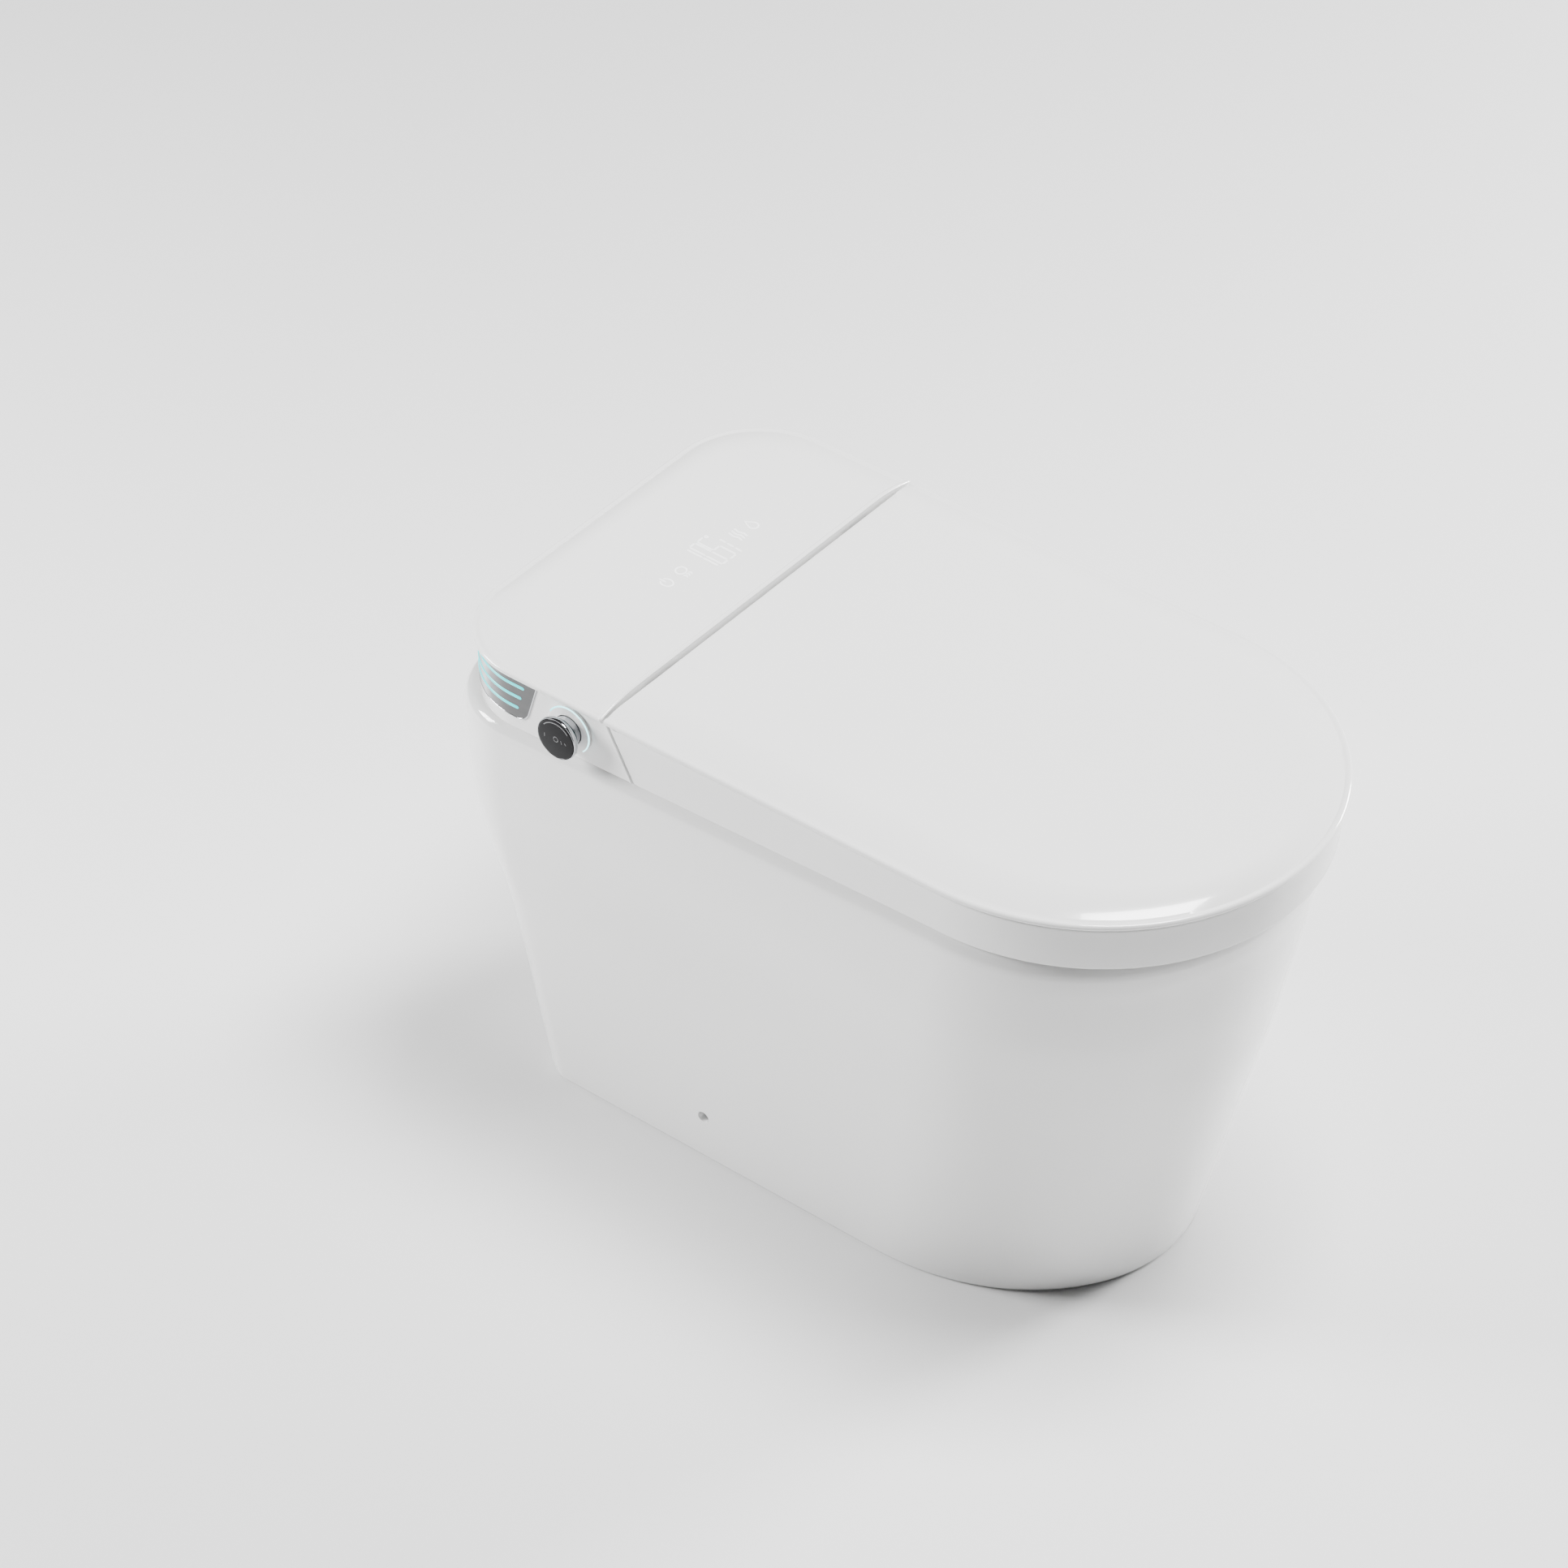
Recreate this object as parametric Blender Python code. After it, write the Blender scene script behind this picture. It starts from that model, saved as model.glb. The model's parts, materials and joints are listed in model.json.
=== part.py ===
"""One-piece washlet toilet: glazed pan, electric seat unit, hinged seat and lid. Metres, +Z up.

The user sits facing -Y, the wall is at +Y, and the floor is z = 0.
"""
from math import cos, pi, radians, sin

import bmesh
import bpy
from mathutils import Vector

# Planform shared by lid, seat and housing
LID_HALF_WIDTH = 0.195
LID_REAR = 0.3374
LID_CORNER = 0.078
FRONT_CENTRE = -0.1494
LID_FRONT = 0.198
BAND_INSET = 0.005

# Heights
BAND_LOW = 0.4055
LIP_LOW = 0.4457
LIP_TOP = 0.451
CROWN = 0.458
PARTING_FALL = 0.030  # metres down per metre rearwards
PARTING_Y = -0.132

# Hinge axis of seat and lid
HINGE_Y = 0.156
HINGE_Z = 0.450
BARREL_R = 0.008
LUG_R = 0.0045
PIN_R = 0.0024
PIN_CLEAR = 0.00007
SEAM_GAP = 0.0025
SEAM_TOP_Y = HINGE_Y + BARREL_R + SEAM_GAP
SEAM_LEAN = 0.54  # forward metres per metre down

# Control knob
KNOB_Y = 0.2010
KNOB_Z = 0.4226
WALL_X = -0.190
RING_R = 0.0208
KNOB_R = 0.0178

# Screw holes through the skirt
FIXING_Y = 0.1010
FIXING_Z = 0.0472

# Washing nozzles
NOZZLE_TIP = Vector((0.0, 0.092, 0.384))
NOZZLE_SLOPE = radians(17.0)
NOZZLE_LENGTH = 0.172
NOZZLE_R = 0.0055
NOZZLE_SPACING = 0.018
PINION_R = 0.006
GAP = 0.0003

COLOURS = {
    "ceramic": (0.93, 0.93, 0.92, 1), "white": (0.90, 0.90, 0.89, 1), "chrome": (0.8, 0.8, 0.82, 1),
    "black": (0.02, 0.02, 0.025, 1), "grey": (0.35, 0.36, 0.38, 1), "glow": (0.55, 0.9, 1.0, 1),
    "rubber": (0.12, 0.12, 0.12, 1), "steel": (0.6, 0.6, 0.62, 1), "board": (0.05, 0.25, 0.12, 1),
    "clear": (0.75, 0.8, 0.85, 1), "copper": (0.75, 0.45, 0.25, 1),
}


def clear_scene():
    for item in list(bpy.data.objects):
        bpy.data.objects.remove(item, do_unlink=True)


def material(name, colour):
    made = bpy.data.materials.new(name)
    made.use_nodes = True
    shader = made.node_tree.nodes["Principled BSDF"]
    shader.inputs["Base Color"].default_value = COLOURS[colour]
    shader.inputs["Roughness"].default_value = 0.1 if colour in ("ceramic", "chrome", "black") else 0.4
    shader.inputs["Metallic"].default_value = 1.0 if colour in ("chrome", "steel", "copper") else 0.0
    return made


def finish(mesh, name, colour=None):
    """Makes one object of a bmesh. Without a colour it is a hidden tool body."""
    bmesh.ops.remove_doubles(mesh, verts=mesh.verts, dist=1e-7)
    bmesh.ops.recalc_face_normals(mesh, faces=mesh.faces)
    data = bpy.data.meshes.new(name)
    mesh.to_mesh(data)
    mesh.free()
    made = bpy.data.objects.new(name, data)
    bpy.context.scene.collection.objects.link(made)
    if colour is None:
        made.hide_render = True
        made.display_type = "WIRE"
    else:
        data.materials.append(material(name, colour))
        data.shade_smooth()
        data.set_sharp_from_angle(angle=radians(35))
    return made


def loft(rings, name, colour=None, loop=False):
    """Skins rings of equal length. The ends are capped, or joined to each other if loop is set."""
    mesh = bmesh.new()
    rows = [[mesh.verts.new(p) for p in ring] for ring in rings]
    pairs = list(zip(rows, rows[1:])) + ([(rows[-1], rows[0])] if loop else [])
    for low, high in pairs:
        for i in range(len(low)):
            j = (i + 1) % len(low)
            mesh.faces.new((low[i], low[j], high[j], high[i]))
    if not loop:
        mesh.faces.new(rows[0][::-1])
        mesh.faces.new(rows[-1])
    return finish(mesh, name, colour)


def level(outline, z):
    return [(x, y, z(x, y) if callable(z) else z) for x, y in outline]


def slab(outline, low, high, name, colour=None):
    return loft([level(outline, low), level(outline, high)], name, colour)


def box(low, high, name, colour=None):
    (x0, y0, z0), (x1, y1, z1) = low, high
    return slab([(x0, y0), (x1, y0), (x1, y1), (x0, y1)], z0, z1, name, colour)


def circle(centre, axis, radius, sides=24, turn=0.0):
    """Points of a circle about an axis, all built from the same pair of cross directions."""
    axis = Vector(axis).normalized()
    across = Vector((1, 0, 0)) if abs(axis.x) < 0.9 else Vector((0, 1, 0))
    u = (across - axis * across.dot(axis)).normalized()
    v = axis.cross(u)
    turns = [turn + 2 * pi * i / sides for i in range(sides)]
    return [tuple(Vector(centre) + (u * cos(a) + v * sin(a)) * radius) for a in turns]


def turned(start, axis, profile, name, colour=None, sides=24):
    """A solid of revolution: profile holds (distance along axis, radius)."""
    axis = Vector(axis).normalized()
    rings = [circle(Vector(start) + axis * s, axis, r, sides) for s, r in profile]
    return loft(rings, name, colour)


def rod(start, end, radius, name, colour=None, sides=24):
    along = Vector(end) - Vector(start)
    return turned(start, along, [(0, radius), (along.length, radius)], name, colour, sides)


def ring_solid(start, axis, profile, name, colour=None, sides=32):
    """A closed ring: profile is a loop of (distance along axis, radius)."""
    axis = Vector(axis).normalized()
    rings = [circle(Vector(start) + axis * s, axis, r, sides) for s, r in profile]
    return loft(rings, name, colour, loop=True)


def boolean(target, tool, operation):
    step = target.modifiers.new(operation.lower() + "_" + tool.name, "BOOLEAN")
    step.operation = operation
    step.solver = "EXACT"
    step.object = tool
    return target


def cut(target, *tools):
    for tool in tools:
        boolean(target, tool, "DIFFERENCE")
    return target


def join(target, *tools):
    for tool in tools:
        boolean(target, tool, "UNION")
    return target


def spread(start, end, steps):
    """Points strictly between two points."""
    return [tuple(a + (b - a) * i / steps for a, b in zip(start, end)) for i in range(1, steps)]


def planform(half_width, rear, corner, centre, front, sides=24, corners=5, straights=1):
    """Square-shouldered back, straight sides and a half-ellipse front, anticlockwise."""
    points = []
    for x, start in ((half_width - corner, 0.0), (corner - half_width, pi / 2)):
        for i in range(corners + 1):
            a = start + pi / 2 * i / corners
            points.append((x + corner * cos(a), rear - corner + corner * sin(a)))
        if x > 0:
            points += spread(points[-1], (-points[-1][0], rear), straights)
    points += spread(points[-1], (-half_width, centre), straights)
    for i in range(sides + 1):
        a = pi + pi * i / sides
        points.append((half_width * cos(a), centre + front * sin(a)))
    points += spread(points[-1], points[0], straights)
    return points


def inset(amount, **changes):
    """The lid's planform moved inwards by an amount."""
    return planform(LID_HALF_WIDTH - amount, LID_REAR - amount, LID_CORNER - amount,
                    FRONT_CENTRE, LID_FRONT - amount, **changes)


def parting(_, y):
    """Height of the sloping line between the seat unit and the pan."""
    return BAND_LOW - PARTING_FALL * max(0.0, y - PARTING_Y)


def rear_parting(_, y):
    """The same line carried on straight to the front, so that the housing's underside is one plane."""
    return BAND_LOW - PARTING_FALL * (y - PARTING_Y)


def seam_y(z, back=0.0):
    """The housing's leaning front face at height z, moved back by an amount."""
    return SEAM_TOP_Y + back - SEAM_LEAN * (LIP_LOW + 0.001 - min(z, LIP_LOW + 0.001))


def seam_prism(back, front_side, name):
    """A wide wedge on one side of the leaning seam, for splitting seat from housing."""
    far = -0.6 if front_side else 0.6
    low, top = 0.30, 0.48
    outline = [(seam_y(low, back), low), (seam_y(LIP_LOW + 0.001, back), LIP_LOW + 0.001),
               (seam_y(top, back), top), (far, top), (far, low)]
    return loft([[(x, y, z) for y, z in outline] for x in (-0.3, 0.3)], name)


def ellipse(centre_y, half_width, half_length, z, sides=32):
    turns = [2 * pi * i / sides for i in range(sides)]
    return [(half_width * cos(a), centre_y + half_length * sin(a), z) for a in turns]


def blended(point, centre_y, half_width, half_length, towards):
    """A point moved part of the way to where its direction meets an ellipse on the centre line."""
    x, y = point
    turn = Vector((x / half_width, (y - centre_y) / half_length)).normalized()
    edge = (turn.x * half_width, centre_y + turn.y * half_length)
    return x + (edge[0] - x) * towards, y + (edge[1] - y) * towards


# ---------------------------------------------------------------- pan

PAN_LEVELS = (  # height, half width, rear, corner radius, front centre, front tip
    (0.000, 0.1535, 0.278, 0.030, -0.072, -0.2555),
    (0.075, 0.1585, 0.293, 0.034, -0.086, -0.2720),
    (0.145, 0.1645, 0.306, 0.040, -0.099, -0.2870),
    (0.195, 0.1703, 0.317, 0.046, -0.108, -0.2985),
    (0.235, 0.1770, 0.330, 0.054, -0.116, -0.3065),
    (0.275, 0.1845, 0.341, 0.064, -0.123, -0.3130),
    (0.310, 0.1900, 0.347, 0.072, -0.130, -0.3190),
    (0.375, 0.1940, 0.348, 0.075, -0.142, -0.3290),
    (0.390, 0.1945, 0.348, 0.075, -0.145, -0.3330),
)


def pan_ring(row, wall=0.0, z=None):
    height, half, rear, corner, centre, tip = row
    outline = planform(half - wall, rear - wall, max(corner - wall, 0.012), centre, centre - tip - wall)
    return level(outline, height if z is None else z)


def pan_top_ring(amount, drop, towards=0.0):
    """The rim's outline inset by an amount, or moved part of the way to the bowl's edge."""
    row = PAN_LEVELS[-1]
    half, rear, corner, centre, tip = row[1:]
    outline = planform(half - amount, rear - amount, corner - amount, centre, centre - tip - amount)
    points = [blended(p, -0.112, 0.140, 0.192, towards) for p in outline]
    return level(points, lambda x, y: parting(x, y) - 0.0015 - drop)


def pan_shell():
    """The skirted outside with a hollow underside, open to the floor."""
    rings = [pan_ring(row) for row in PAN_LEVELS[:-1]]
    rings += [pan_top_ring(0.0, 0.012), pan_top_ring(0.0015, 0.005), pan_top_ring(0.008, 0.0),
              pan_top_ring(0.008, 0.0, 0.98)]
    pan = loft(rings, "ceramic_pan", "ceramic")
    hollow = [pan_ring(PAN_LEVELS[0], 0.011, -0.01)]
    hollow += [pan_ring(row, 0.011) for row in PAN_LEVELS[1:6]]
    hollow.append(pan_ring(PAN_LEVELS[6], 0.016, 0.305))
    return pan, loft(hollow, "tool_pan_hollow")


def tube(path, radius, name, sides=14):
    """A round tube body along a path in the plane x = 0."""
    rings = []
    for i, (y, z) in enumerate(path):
        y0, z0 = path[max(i - 1, 0)]
        y1, z1 = path[min(i + 1, len(path) - 1)]
        rings.append(circle((0, y, z), (0, y1 - y0, z1 - z0), radius, sides))
    return loft(rings, name)


TRAPWAY = ((-0.030, 0.100), (0.010, 0.092), (0.050, 0.098), (0.082, 0.125), (0.106, 0.160), (0.135, 0.182),
           (0.165, 0.178), (0.186, 0.150), (0.193, 0.110), (0.194, 0.060), (0.194, 0.030))


def bowl_rings(wall):
    rows = ((0.405, -0.112, 0.140, 0.192), (0.375, -0.112, 0.139, 0.190), (0.320, -0.110, 0.128, 0.172),
            (0.250, -0.103, 0.108, 0.140), (0.185, -0.085, 0.078, 0.100), (0.130, -0.055, 0.048, 0.062),
            (0.100, -0.030, 0.030, 0.036))
    rings = [ellipse(y, a + wall, b + wall, z) for z, y, a, b in rows]
    if wall:
        rings[0] = ellipse(rows[0][1], 0.140 + wall, 0.192 + wall, 0.385)
        rings.append(ellipse(-0.030, 0.022, 0.028, 0.100 - wall))
    else:
        rings[0] = ellipse(rows[0][1], 0.140, 0.192, 0.43)
        rings.append(ellipse(-0.030, 0.012, 0.016, 0.084))
    return rings


def build_pan():
    pan, hollow = pan_shell()
    cut(pan, hollow)
    join(pan, loft(bowl_rings(0.012), "tool_bowl_outer"), tube(TRAPWAY[1:], 0.041, "tool_trap_outer"))
    join(pan, box((-0.149, -0.020, 0.0), (0.149, 0.020, 0.030), "tool_foot_web"))
    cut(pan, loft(bowl_rings(0.0), "tool_bowl_inner"))
    cut(pan, tube(TRAPWAY[:-1] + ((0.194, 0.010),), 0.029, "tool_trap_inner"))
    cut(pan, box((-0.153, 0.118, 0.338), (0.153, 0.322, 0.45), "tool_well"))
    cut(pan, box((-0.070, 0.055, 0.352), (0.040, 0.130, 0.45), "tool_nozzle_notch"))
    cut(pan, rod((-0.20, FIXING_Y, FIXING_Z), (0.20, FIXING_Y, FIXING_Z), 0.005, "tool_fixing_holes",
                 sides=20))
    # service opening in the well's floor for water, power and the flush pipe
    cut(pan, rod((0.105, 0.285, 0.28), (0.105, 0.285, 0.36), 0.020, "tool_service_hole"))
    return pan


def build_floor_fixings():
    ring_solid((0, 0.194, 0.002), (0, 0, 1),
               [(0, 0.034), (0, 0.062), (0.012, 0.062), (0.025, 0.048), (0.025, 0.034)],
               "outlet_seal", "rubber")
    for side, name in ((-1, "left"), (1, "right")):
        x0, x1 = sorted((side * 0.118, side * 0.143))
        block = box((x0, FIXING_Y - 0.022, 0.0005), (x1, FIXING_Y + 0.022, 0.064),
                    "floor_bracket_" + name, "grey")
        cut(block, rod((side * 0.10, FIXING_Y, FIXING_Z), (side * 0.16, FIXING_Y, FIXING_Z), 0.0029,
                       "tool_bracket_hole_" + name, sides=16))
        turned((side * 0.1508, FIXING_Y, FIXING_Z), (-side, 0, 0),
               [(0, 0.0035), (0.0008, 0.0042), (0.0028, 0.0042), (0.00281, 0.0025), (0.034, 0.0025)],
               "fixing_screw_" + name, "steel", 16)


# ---------------------------------------------------------------- seat unit

def build_base_plate():
    """The tray that drops into the pan's well and carries everything electric."""
    tray = box((-0.1500, 0.1195, 0.3395), (0.1500, 0.3180, 0.3900), "base_plate", "white")
    cut(tray, box((-0.1470, 0.1225, 0.342), (0.1470, 0.3150, 0.45), "tool_tray_inside"))
    cut(tray, box((-0.068, 0.10, 0.356), (0.034, 0.13, 0.45), "tool_tray_nozzle_way"))
    cut(tray, rod((0.105, 0.285, 0.33), (0.105, 0.285, 0.35), 0.017, "tool_tray_service_hole"))
    return tray


def build_housing():
    outer = inset(BAND_INSET)
    housing = loft([level(outer, rear_parting), level(outer, LIP_LOW - GAP)], "rear_housing", "white")
    inner = inset(BAND_INSET + 0.003)
    cut(housing, seam_prism(0.0, True, "tool_housing_front"))
    inside = loft([level(inner, 0.36), level(inner, 0.47)], "tool_housing_inside")
    cut(inside, seam_prism(0.003, True, "tool_housing_inside_front"))
    cut(housing, inside)
    cut(housing, box((-0.034, 0.10, 0.36), (0.034, 0.20, 0.4185), "tool_housing_nozzle_way"))
    cut(housing, rod((-0.100, 0.32, 0.403), (-0.100, 0.35, 0.403), 0.0088, "tool_power_hole"))
    cut(housing, box((0.18, 0.2045, 0.4065), (0.20, 0.2455, 0.4325), "tool_filter_slot"))
    join(housing, box((0.1185, 0.2045, 0.4030), (0.1880, 0.2455, 0.4061), "tool_filter_shelf"))
    cut(housing, rod((-0.20, KNOB_Y, KNOB_Z), (-0.17, KNOB_Y, KNOB_Z), 0.0165, "tool_knob_hole"))
    for side in (-1, 1):
        join(housing, hinge_bracket(side))
    return housing


def hinge_bracket(side):
    """Lug on the axis, a leg forward and down, and a foot back to the housing's front wall."""
    x0, x1 = sorted((side * 0.124, side * 0.138))
    outline = [(HINGE_Y - 0.0012, HINGE_Z - 0.0030), (HINGE_Y - 0.0030, 0.4330), (HINGE_Y + 0.003, 0.4290),
               (HINGE_Y + 0.003, 0.4190), (0.1470, 0.4190), (0.1455, 0.4330), (HINGE_Y - 0.0044, HINGE_Z)]
    leg = loft([[(x, y, z) for y, z in outline] for x in (x0, x1)], f"tool_housing_leg_{x1:.3f}")
    join(leg, rod((x0, HINGE_Y, HINGE_Z), (x1, HINGE_Y, HINGE_Z), LUG_R, f"tool_housing_lug_{x1:.3f}"))
    cut(leg, rod((x0 - 0.01, HINGE_Y, HINGE_Z), (x1 + 0.01, HINGE_Y, HINGE_Z), PIN_R + 0.00005,
                 f"tool_housing_bore_{x1:.3f}"))
    return leg


def crowned(drop, name, colour=None):
    """The shared crown: thin lip, sloping border and flat panel, or its underside if drop is set."""
    rows = ((0.0012, LIP_LOW), (0.0, LIP_LOW + 0.0010), (0.0, LIP_TOP - 0.0015), (0.0015, LIP_TOP),
            (0.022, CROWN - 0.0020), (0.040, CROWN))
    if drop:
        rows = ((0.0040, LIP_LOW - 0.01), (0.0040, LIP_TOP - 0.0022), (0.022, CROWN - 0.0052),
                (0.040, CROWN - 0.0032))
    return loft([level(inset(a), z) for a, z in rows], name, colour)


def build_cover():
    cover = crowned(0, "top_cover", "white")
    cut(cover, box((-0.3, -0.5, 0.40), (0.3, SEAM_TOP_Y, 0.50), "tool_cover_front"))
    under = crowned(1, "tool_cover_under")
    cut(under, box((-0.3, -0.5, 0.40), (0.3, SEAM_TOP_Y + 0.003, 0.50), "tool_cover_under_front"))
    return cut(cover, under)


def side_band(amount_in, amount_out, z0, z1, y_front, lean, wrap, name, colour=None):
    """A thin curved band on the housing's left side, from a leaning front edge round to the back."""
    def wall(amount):
        corner = LID_CORNER - BAND_INSET - amount
        half, rear = -WALL_X - amount, LID_REAR - BAND_INSET - amount
        points = [(-half, y_front)]
        if rear - corner > y_front + 0.002:
            points.append((-half, rear - corner))
        for i in range(1, 9):
            a = radians(wrap) * i / 8
            points.append((-half + corner - corner * cos(a), rear - corner + corner * sin(a)))
        return points
    inner, outer = wall(amount_in), wall(amount_out)
    outline = outer + inner[::-1]

    def moved(z):
        shift = lean * (z1 - z)
        return [(x, y + (shift if abs(y - y_front) < 1e-9 else 0.0), z) for x, y in outline]
    return loft([moved(z0), moved(z1)], name, colour)


WINDOW_LOW = 0.4060
WINDOW_TOP = 0.4435
WINDOW_FRONT = 0.2345
WINDOW_LEAN = 0.30
BAR_LEVELS = (0.4378, 0.4272, 0.4166)
BAR_HALF = 0.0014
BAR_WRAP = 62


def build_window():
    window = side_band(0.0012, -0.0006, WINDOW_LOW, WINDOW_TOP, WINDOW_FRONT, WINDOW_LEAN, 76,
                       "light_window", "grey")
    recess = side_band(0.0016, -0.003, WINDOW_LOW - GAP, WINDOW_TOP + GAP, WINDOW_FRONT - GAP,
                       WINDOW_LEAN, 77, "tool_window_recess")
    for i, z in enumerate(BAR_LEVELS):
        front = WINDOW_FRONT + WINDOW_LEAN * (WINDOW_TOP - z) + 0.0105
        cut(window, side_band(0.0001, -0.003, z - BAR_HALF - 0.00015, z + BAR_HALF + 0.00015,
                              front - 0.00015, 0.0, BAR_WRAP + 0.3, f"tool_bar_slot_{i + 1}"))
        side_band(-0.0001, -0.0008, z - BAR_HALF, z + BAR_HALF, front, 0.0, BAR_WRAP,
                  f"light_bar_{i + 1}", "glow")
    return recess


def build_knob():
    out = (-1, 0, 0)
    centre = (WALL_X, KNOB_Y, KNOB_Z)
    ring_solid(centre, out, [(-0.003, 0.0130), (-0.003, 0.0160), (0.0004, 0.0160), (0.0004, RING_R),
                             (0.0016, RING_R - 0.0002), (0.0016, 0.0130)], "knob_bezel", "white")
    ring_solid((WALL_X - 0.0019, KNOB_Y, KNOB_Z), out,
               [(0, 0.0150), (0, RING_R - 0.0004), (0.0008, RING_R - 0.0006), (0.0013, RING_R - 0.0010),
                (0.0013, 0.0150)],
               "knob_light_ring", "glow")
    encoder = rod((-0.1600, KNOB_Y, KNOB_Z), (-0.1795, KNOB_Y, KNOB_Z), 0.0115, "encoder", "grey")
    cut(encoder, rod((-0.1720, KNOB_Y, KNOB_Z), (-0.19, KNOB_Y, KNOB_Z), 0.0030 + 0.0001,
                     "tool_encoder_bore", sides=16))
    turned((-0.1750, KNOB_Y, KNOB_Z), out, [(0, 0.0030), (0.0250, 0.0030)], "knob_shaft", "steel", 16)
    cap = turned((-0.1890, KNOB_Y, KNOB_Z), out,
                 [(0, 0.0105), (0.0060, 0.0115), (0.0100, 0.0130), (0.0136, KNOB_R - 0.0013),
                  (0.0146, KNOB_R), (0.0180, KNOB_R), (0.0186, KNOB_R - 0.0006)], "knob_cap", "chrome", 40)
    cut(cap, rod((-0.18, KNOB_Y, KNOB_Z), (-0.2003, KNOB_Y, KNOB_Z), 0.0030 + 0.00008, "tool_cap_bore",
                 sides=16))
    cut(cap, rod((-0.2060, KNOB_Y, KNOB_Z), (-0.215, KNOB_Y, KNOB_Z), KNOB_R - 0.0007, "tool_cap_face",
                 sides=40))
    glass = [(0, KNOB_R - 0.0008), (0.0012, KNOB_R - 0.0008), (0.0018, KNOB_R - 0.0013)]
    turned((-0.2061, KNOB_Y, KNOB_Z), out, glass, "knob_glass", "black", 40)


def build_electrics():
    box((-0.062, 0.211, 0.4492), (0.096, 0.2505, 0.4508), "display_board", "board")
    box((-0.145, 0.180, 0.352), (-0.080, 0.300, 0.3545), "main_board", "board")
    box((-0.142, 0.190, 0.3560), (-0.085, 0.285, 0.385), "power_supply", "grey")
    turned((0.048, 0.190, 0.365), (0, 1, 0), [(0, 0.014), (0.003, 0.017), (0.087, 0.017), (0.090, 0.014)],
           "water_heater", "steel", 24)
    rod((0.092, 0.170, 0.366), (0.092, 0.225, 0.366), 0.016, "water_pump", "grey")
    box((0.078, 0.232, 0.350), (0.108, 0.262, 0.385), "solenoid_valve", "white")
    rod((0.105, 0.285, 0.300), (0.105, 0.285, 0.366), 0.0105, "water_inlet", "chrome")
    rod((-0.100, 0.3300, 0.4030), (-0.100, 0.3420, 0.4030), 0.0085, "power_inlet", "black")
    box((0.050, 0.262, 0.398), (0.110, 0.312, 0.435), "flush_pump", "grey")


# ---------------------------------------------------------------- washing nozzles

def along_nozzle(distance, across=0.0, above=0.0):
    """A point behind the stowed nozzle tip, measured along, across and square to the nozzle."""
    c, s = cos(NOZZLE_SLOPE), sin(NOZZLE_SLOPE)
    return NOZZLE_TIP + Vector((across, distance * c - above * s, distance * s + above * c))


def slanted_box(d0, d1, x0, x1, h0, h1, name, colour=None):
    rings = []
    for d in (d0, d1):
        rings.append([tuple(along_nozzle(d, x, h)) for x, h in ((x0, h0), (x1, h0), (x1, h1), (x0, h1))])
    return loft(rings, name, colour)


def build_nozzles():
    guide = slanted_box(0.030, 0.146, -0.0245, 0.0245, -0.0095, 0.0075, "nozzle_guide", "white")
    for side, name in ((-1, "rear"), (1, "front")):
        x = side * NOZZLE_SPACING / 2
        cut(guide, rod(along_nozzle(-0.02, x), along_nozzle(0.20, x), NOZZLE_R + 0.0006,
                       "tool_guide_bore_" + name, sides=20))
        body = turned(along_nozzle(0, x), along_nozzle(NOZZLE_LENGTH, x) - along_nozzle(0, x),
                      [(0, 0.0035), (0.0015, NOZZLE_R), (NOZZLE_LENGTH, NOZZLE_R)], name + "_nozzle",
                      "white", 20)
        jets = [0.007] if side < 0 else [0.006, 0.011]
        for n, d in enumerate(jets):
            cut(body, rod(along_nozzle(d, x, 0.0035), along_nozzle(d, x, 0.009), 0.0009,
                          f"tool_jet_{name}_{n}", sides=10))
        cut(guide, slanted_box(0.0, 0.20, x + side * 0.0046, side * 0.03, -0.0031, 0.0031,
                               "tool_rack_way_" + name))
        cut(guide, slanted_box(PINION_AT - 0.0080, PINION_AT + 0.0080, x + side * 0.0046, side * 0.03,
                               -0.02, 0.02, "tool_pinion_way_" + name))
        cut(guide, build_rack_drive(side, name, body))
    join(guide, box((-0.012, 0.197, 0.3425), (0.012, 0.225, 0.4075), "tool_guide_leg"))


RACK_PITCH = 2 * pi * PINION_R / 12
RACK_START = 0.066
RACK_TEETH = 33
PINION_AT = RACK_START + 3.98 * RACK_PITCH


def star(centre, axis, half, rows, bore, name, colour, first=0.0):
    """A toothed or bladed wheel: rows holds (fraction of a tooth, radius) for each corner of one tooth."""
    axis = Vector(axis).normalized()
    teeth, corners = rows
    rings = []
    for offset in (-half, half):
        ring = []
        for i in range(teeth):
            for fraction, radius in corners:
                turn = first + 2 * pi * (i + fraction) / teeth
                ring += circle(Vector(centre) + axis * offset, axis, radius, 1, turn)
        rings.append(ring)
    wheel = loft(rings, name, colour)
    if bore:
        low, high = Vector(centre) - axis * half * 3, Vector(centre) + axis * half * 3
        cut(wheel, rod(low, high, bore, "tool_bore_" + name, sides=16))
    return wheel


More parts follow.
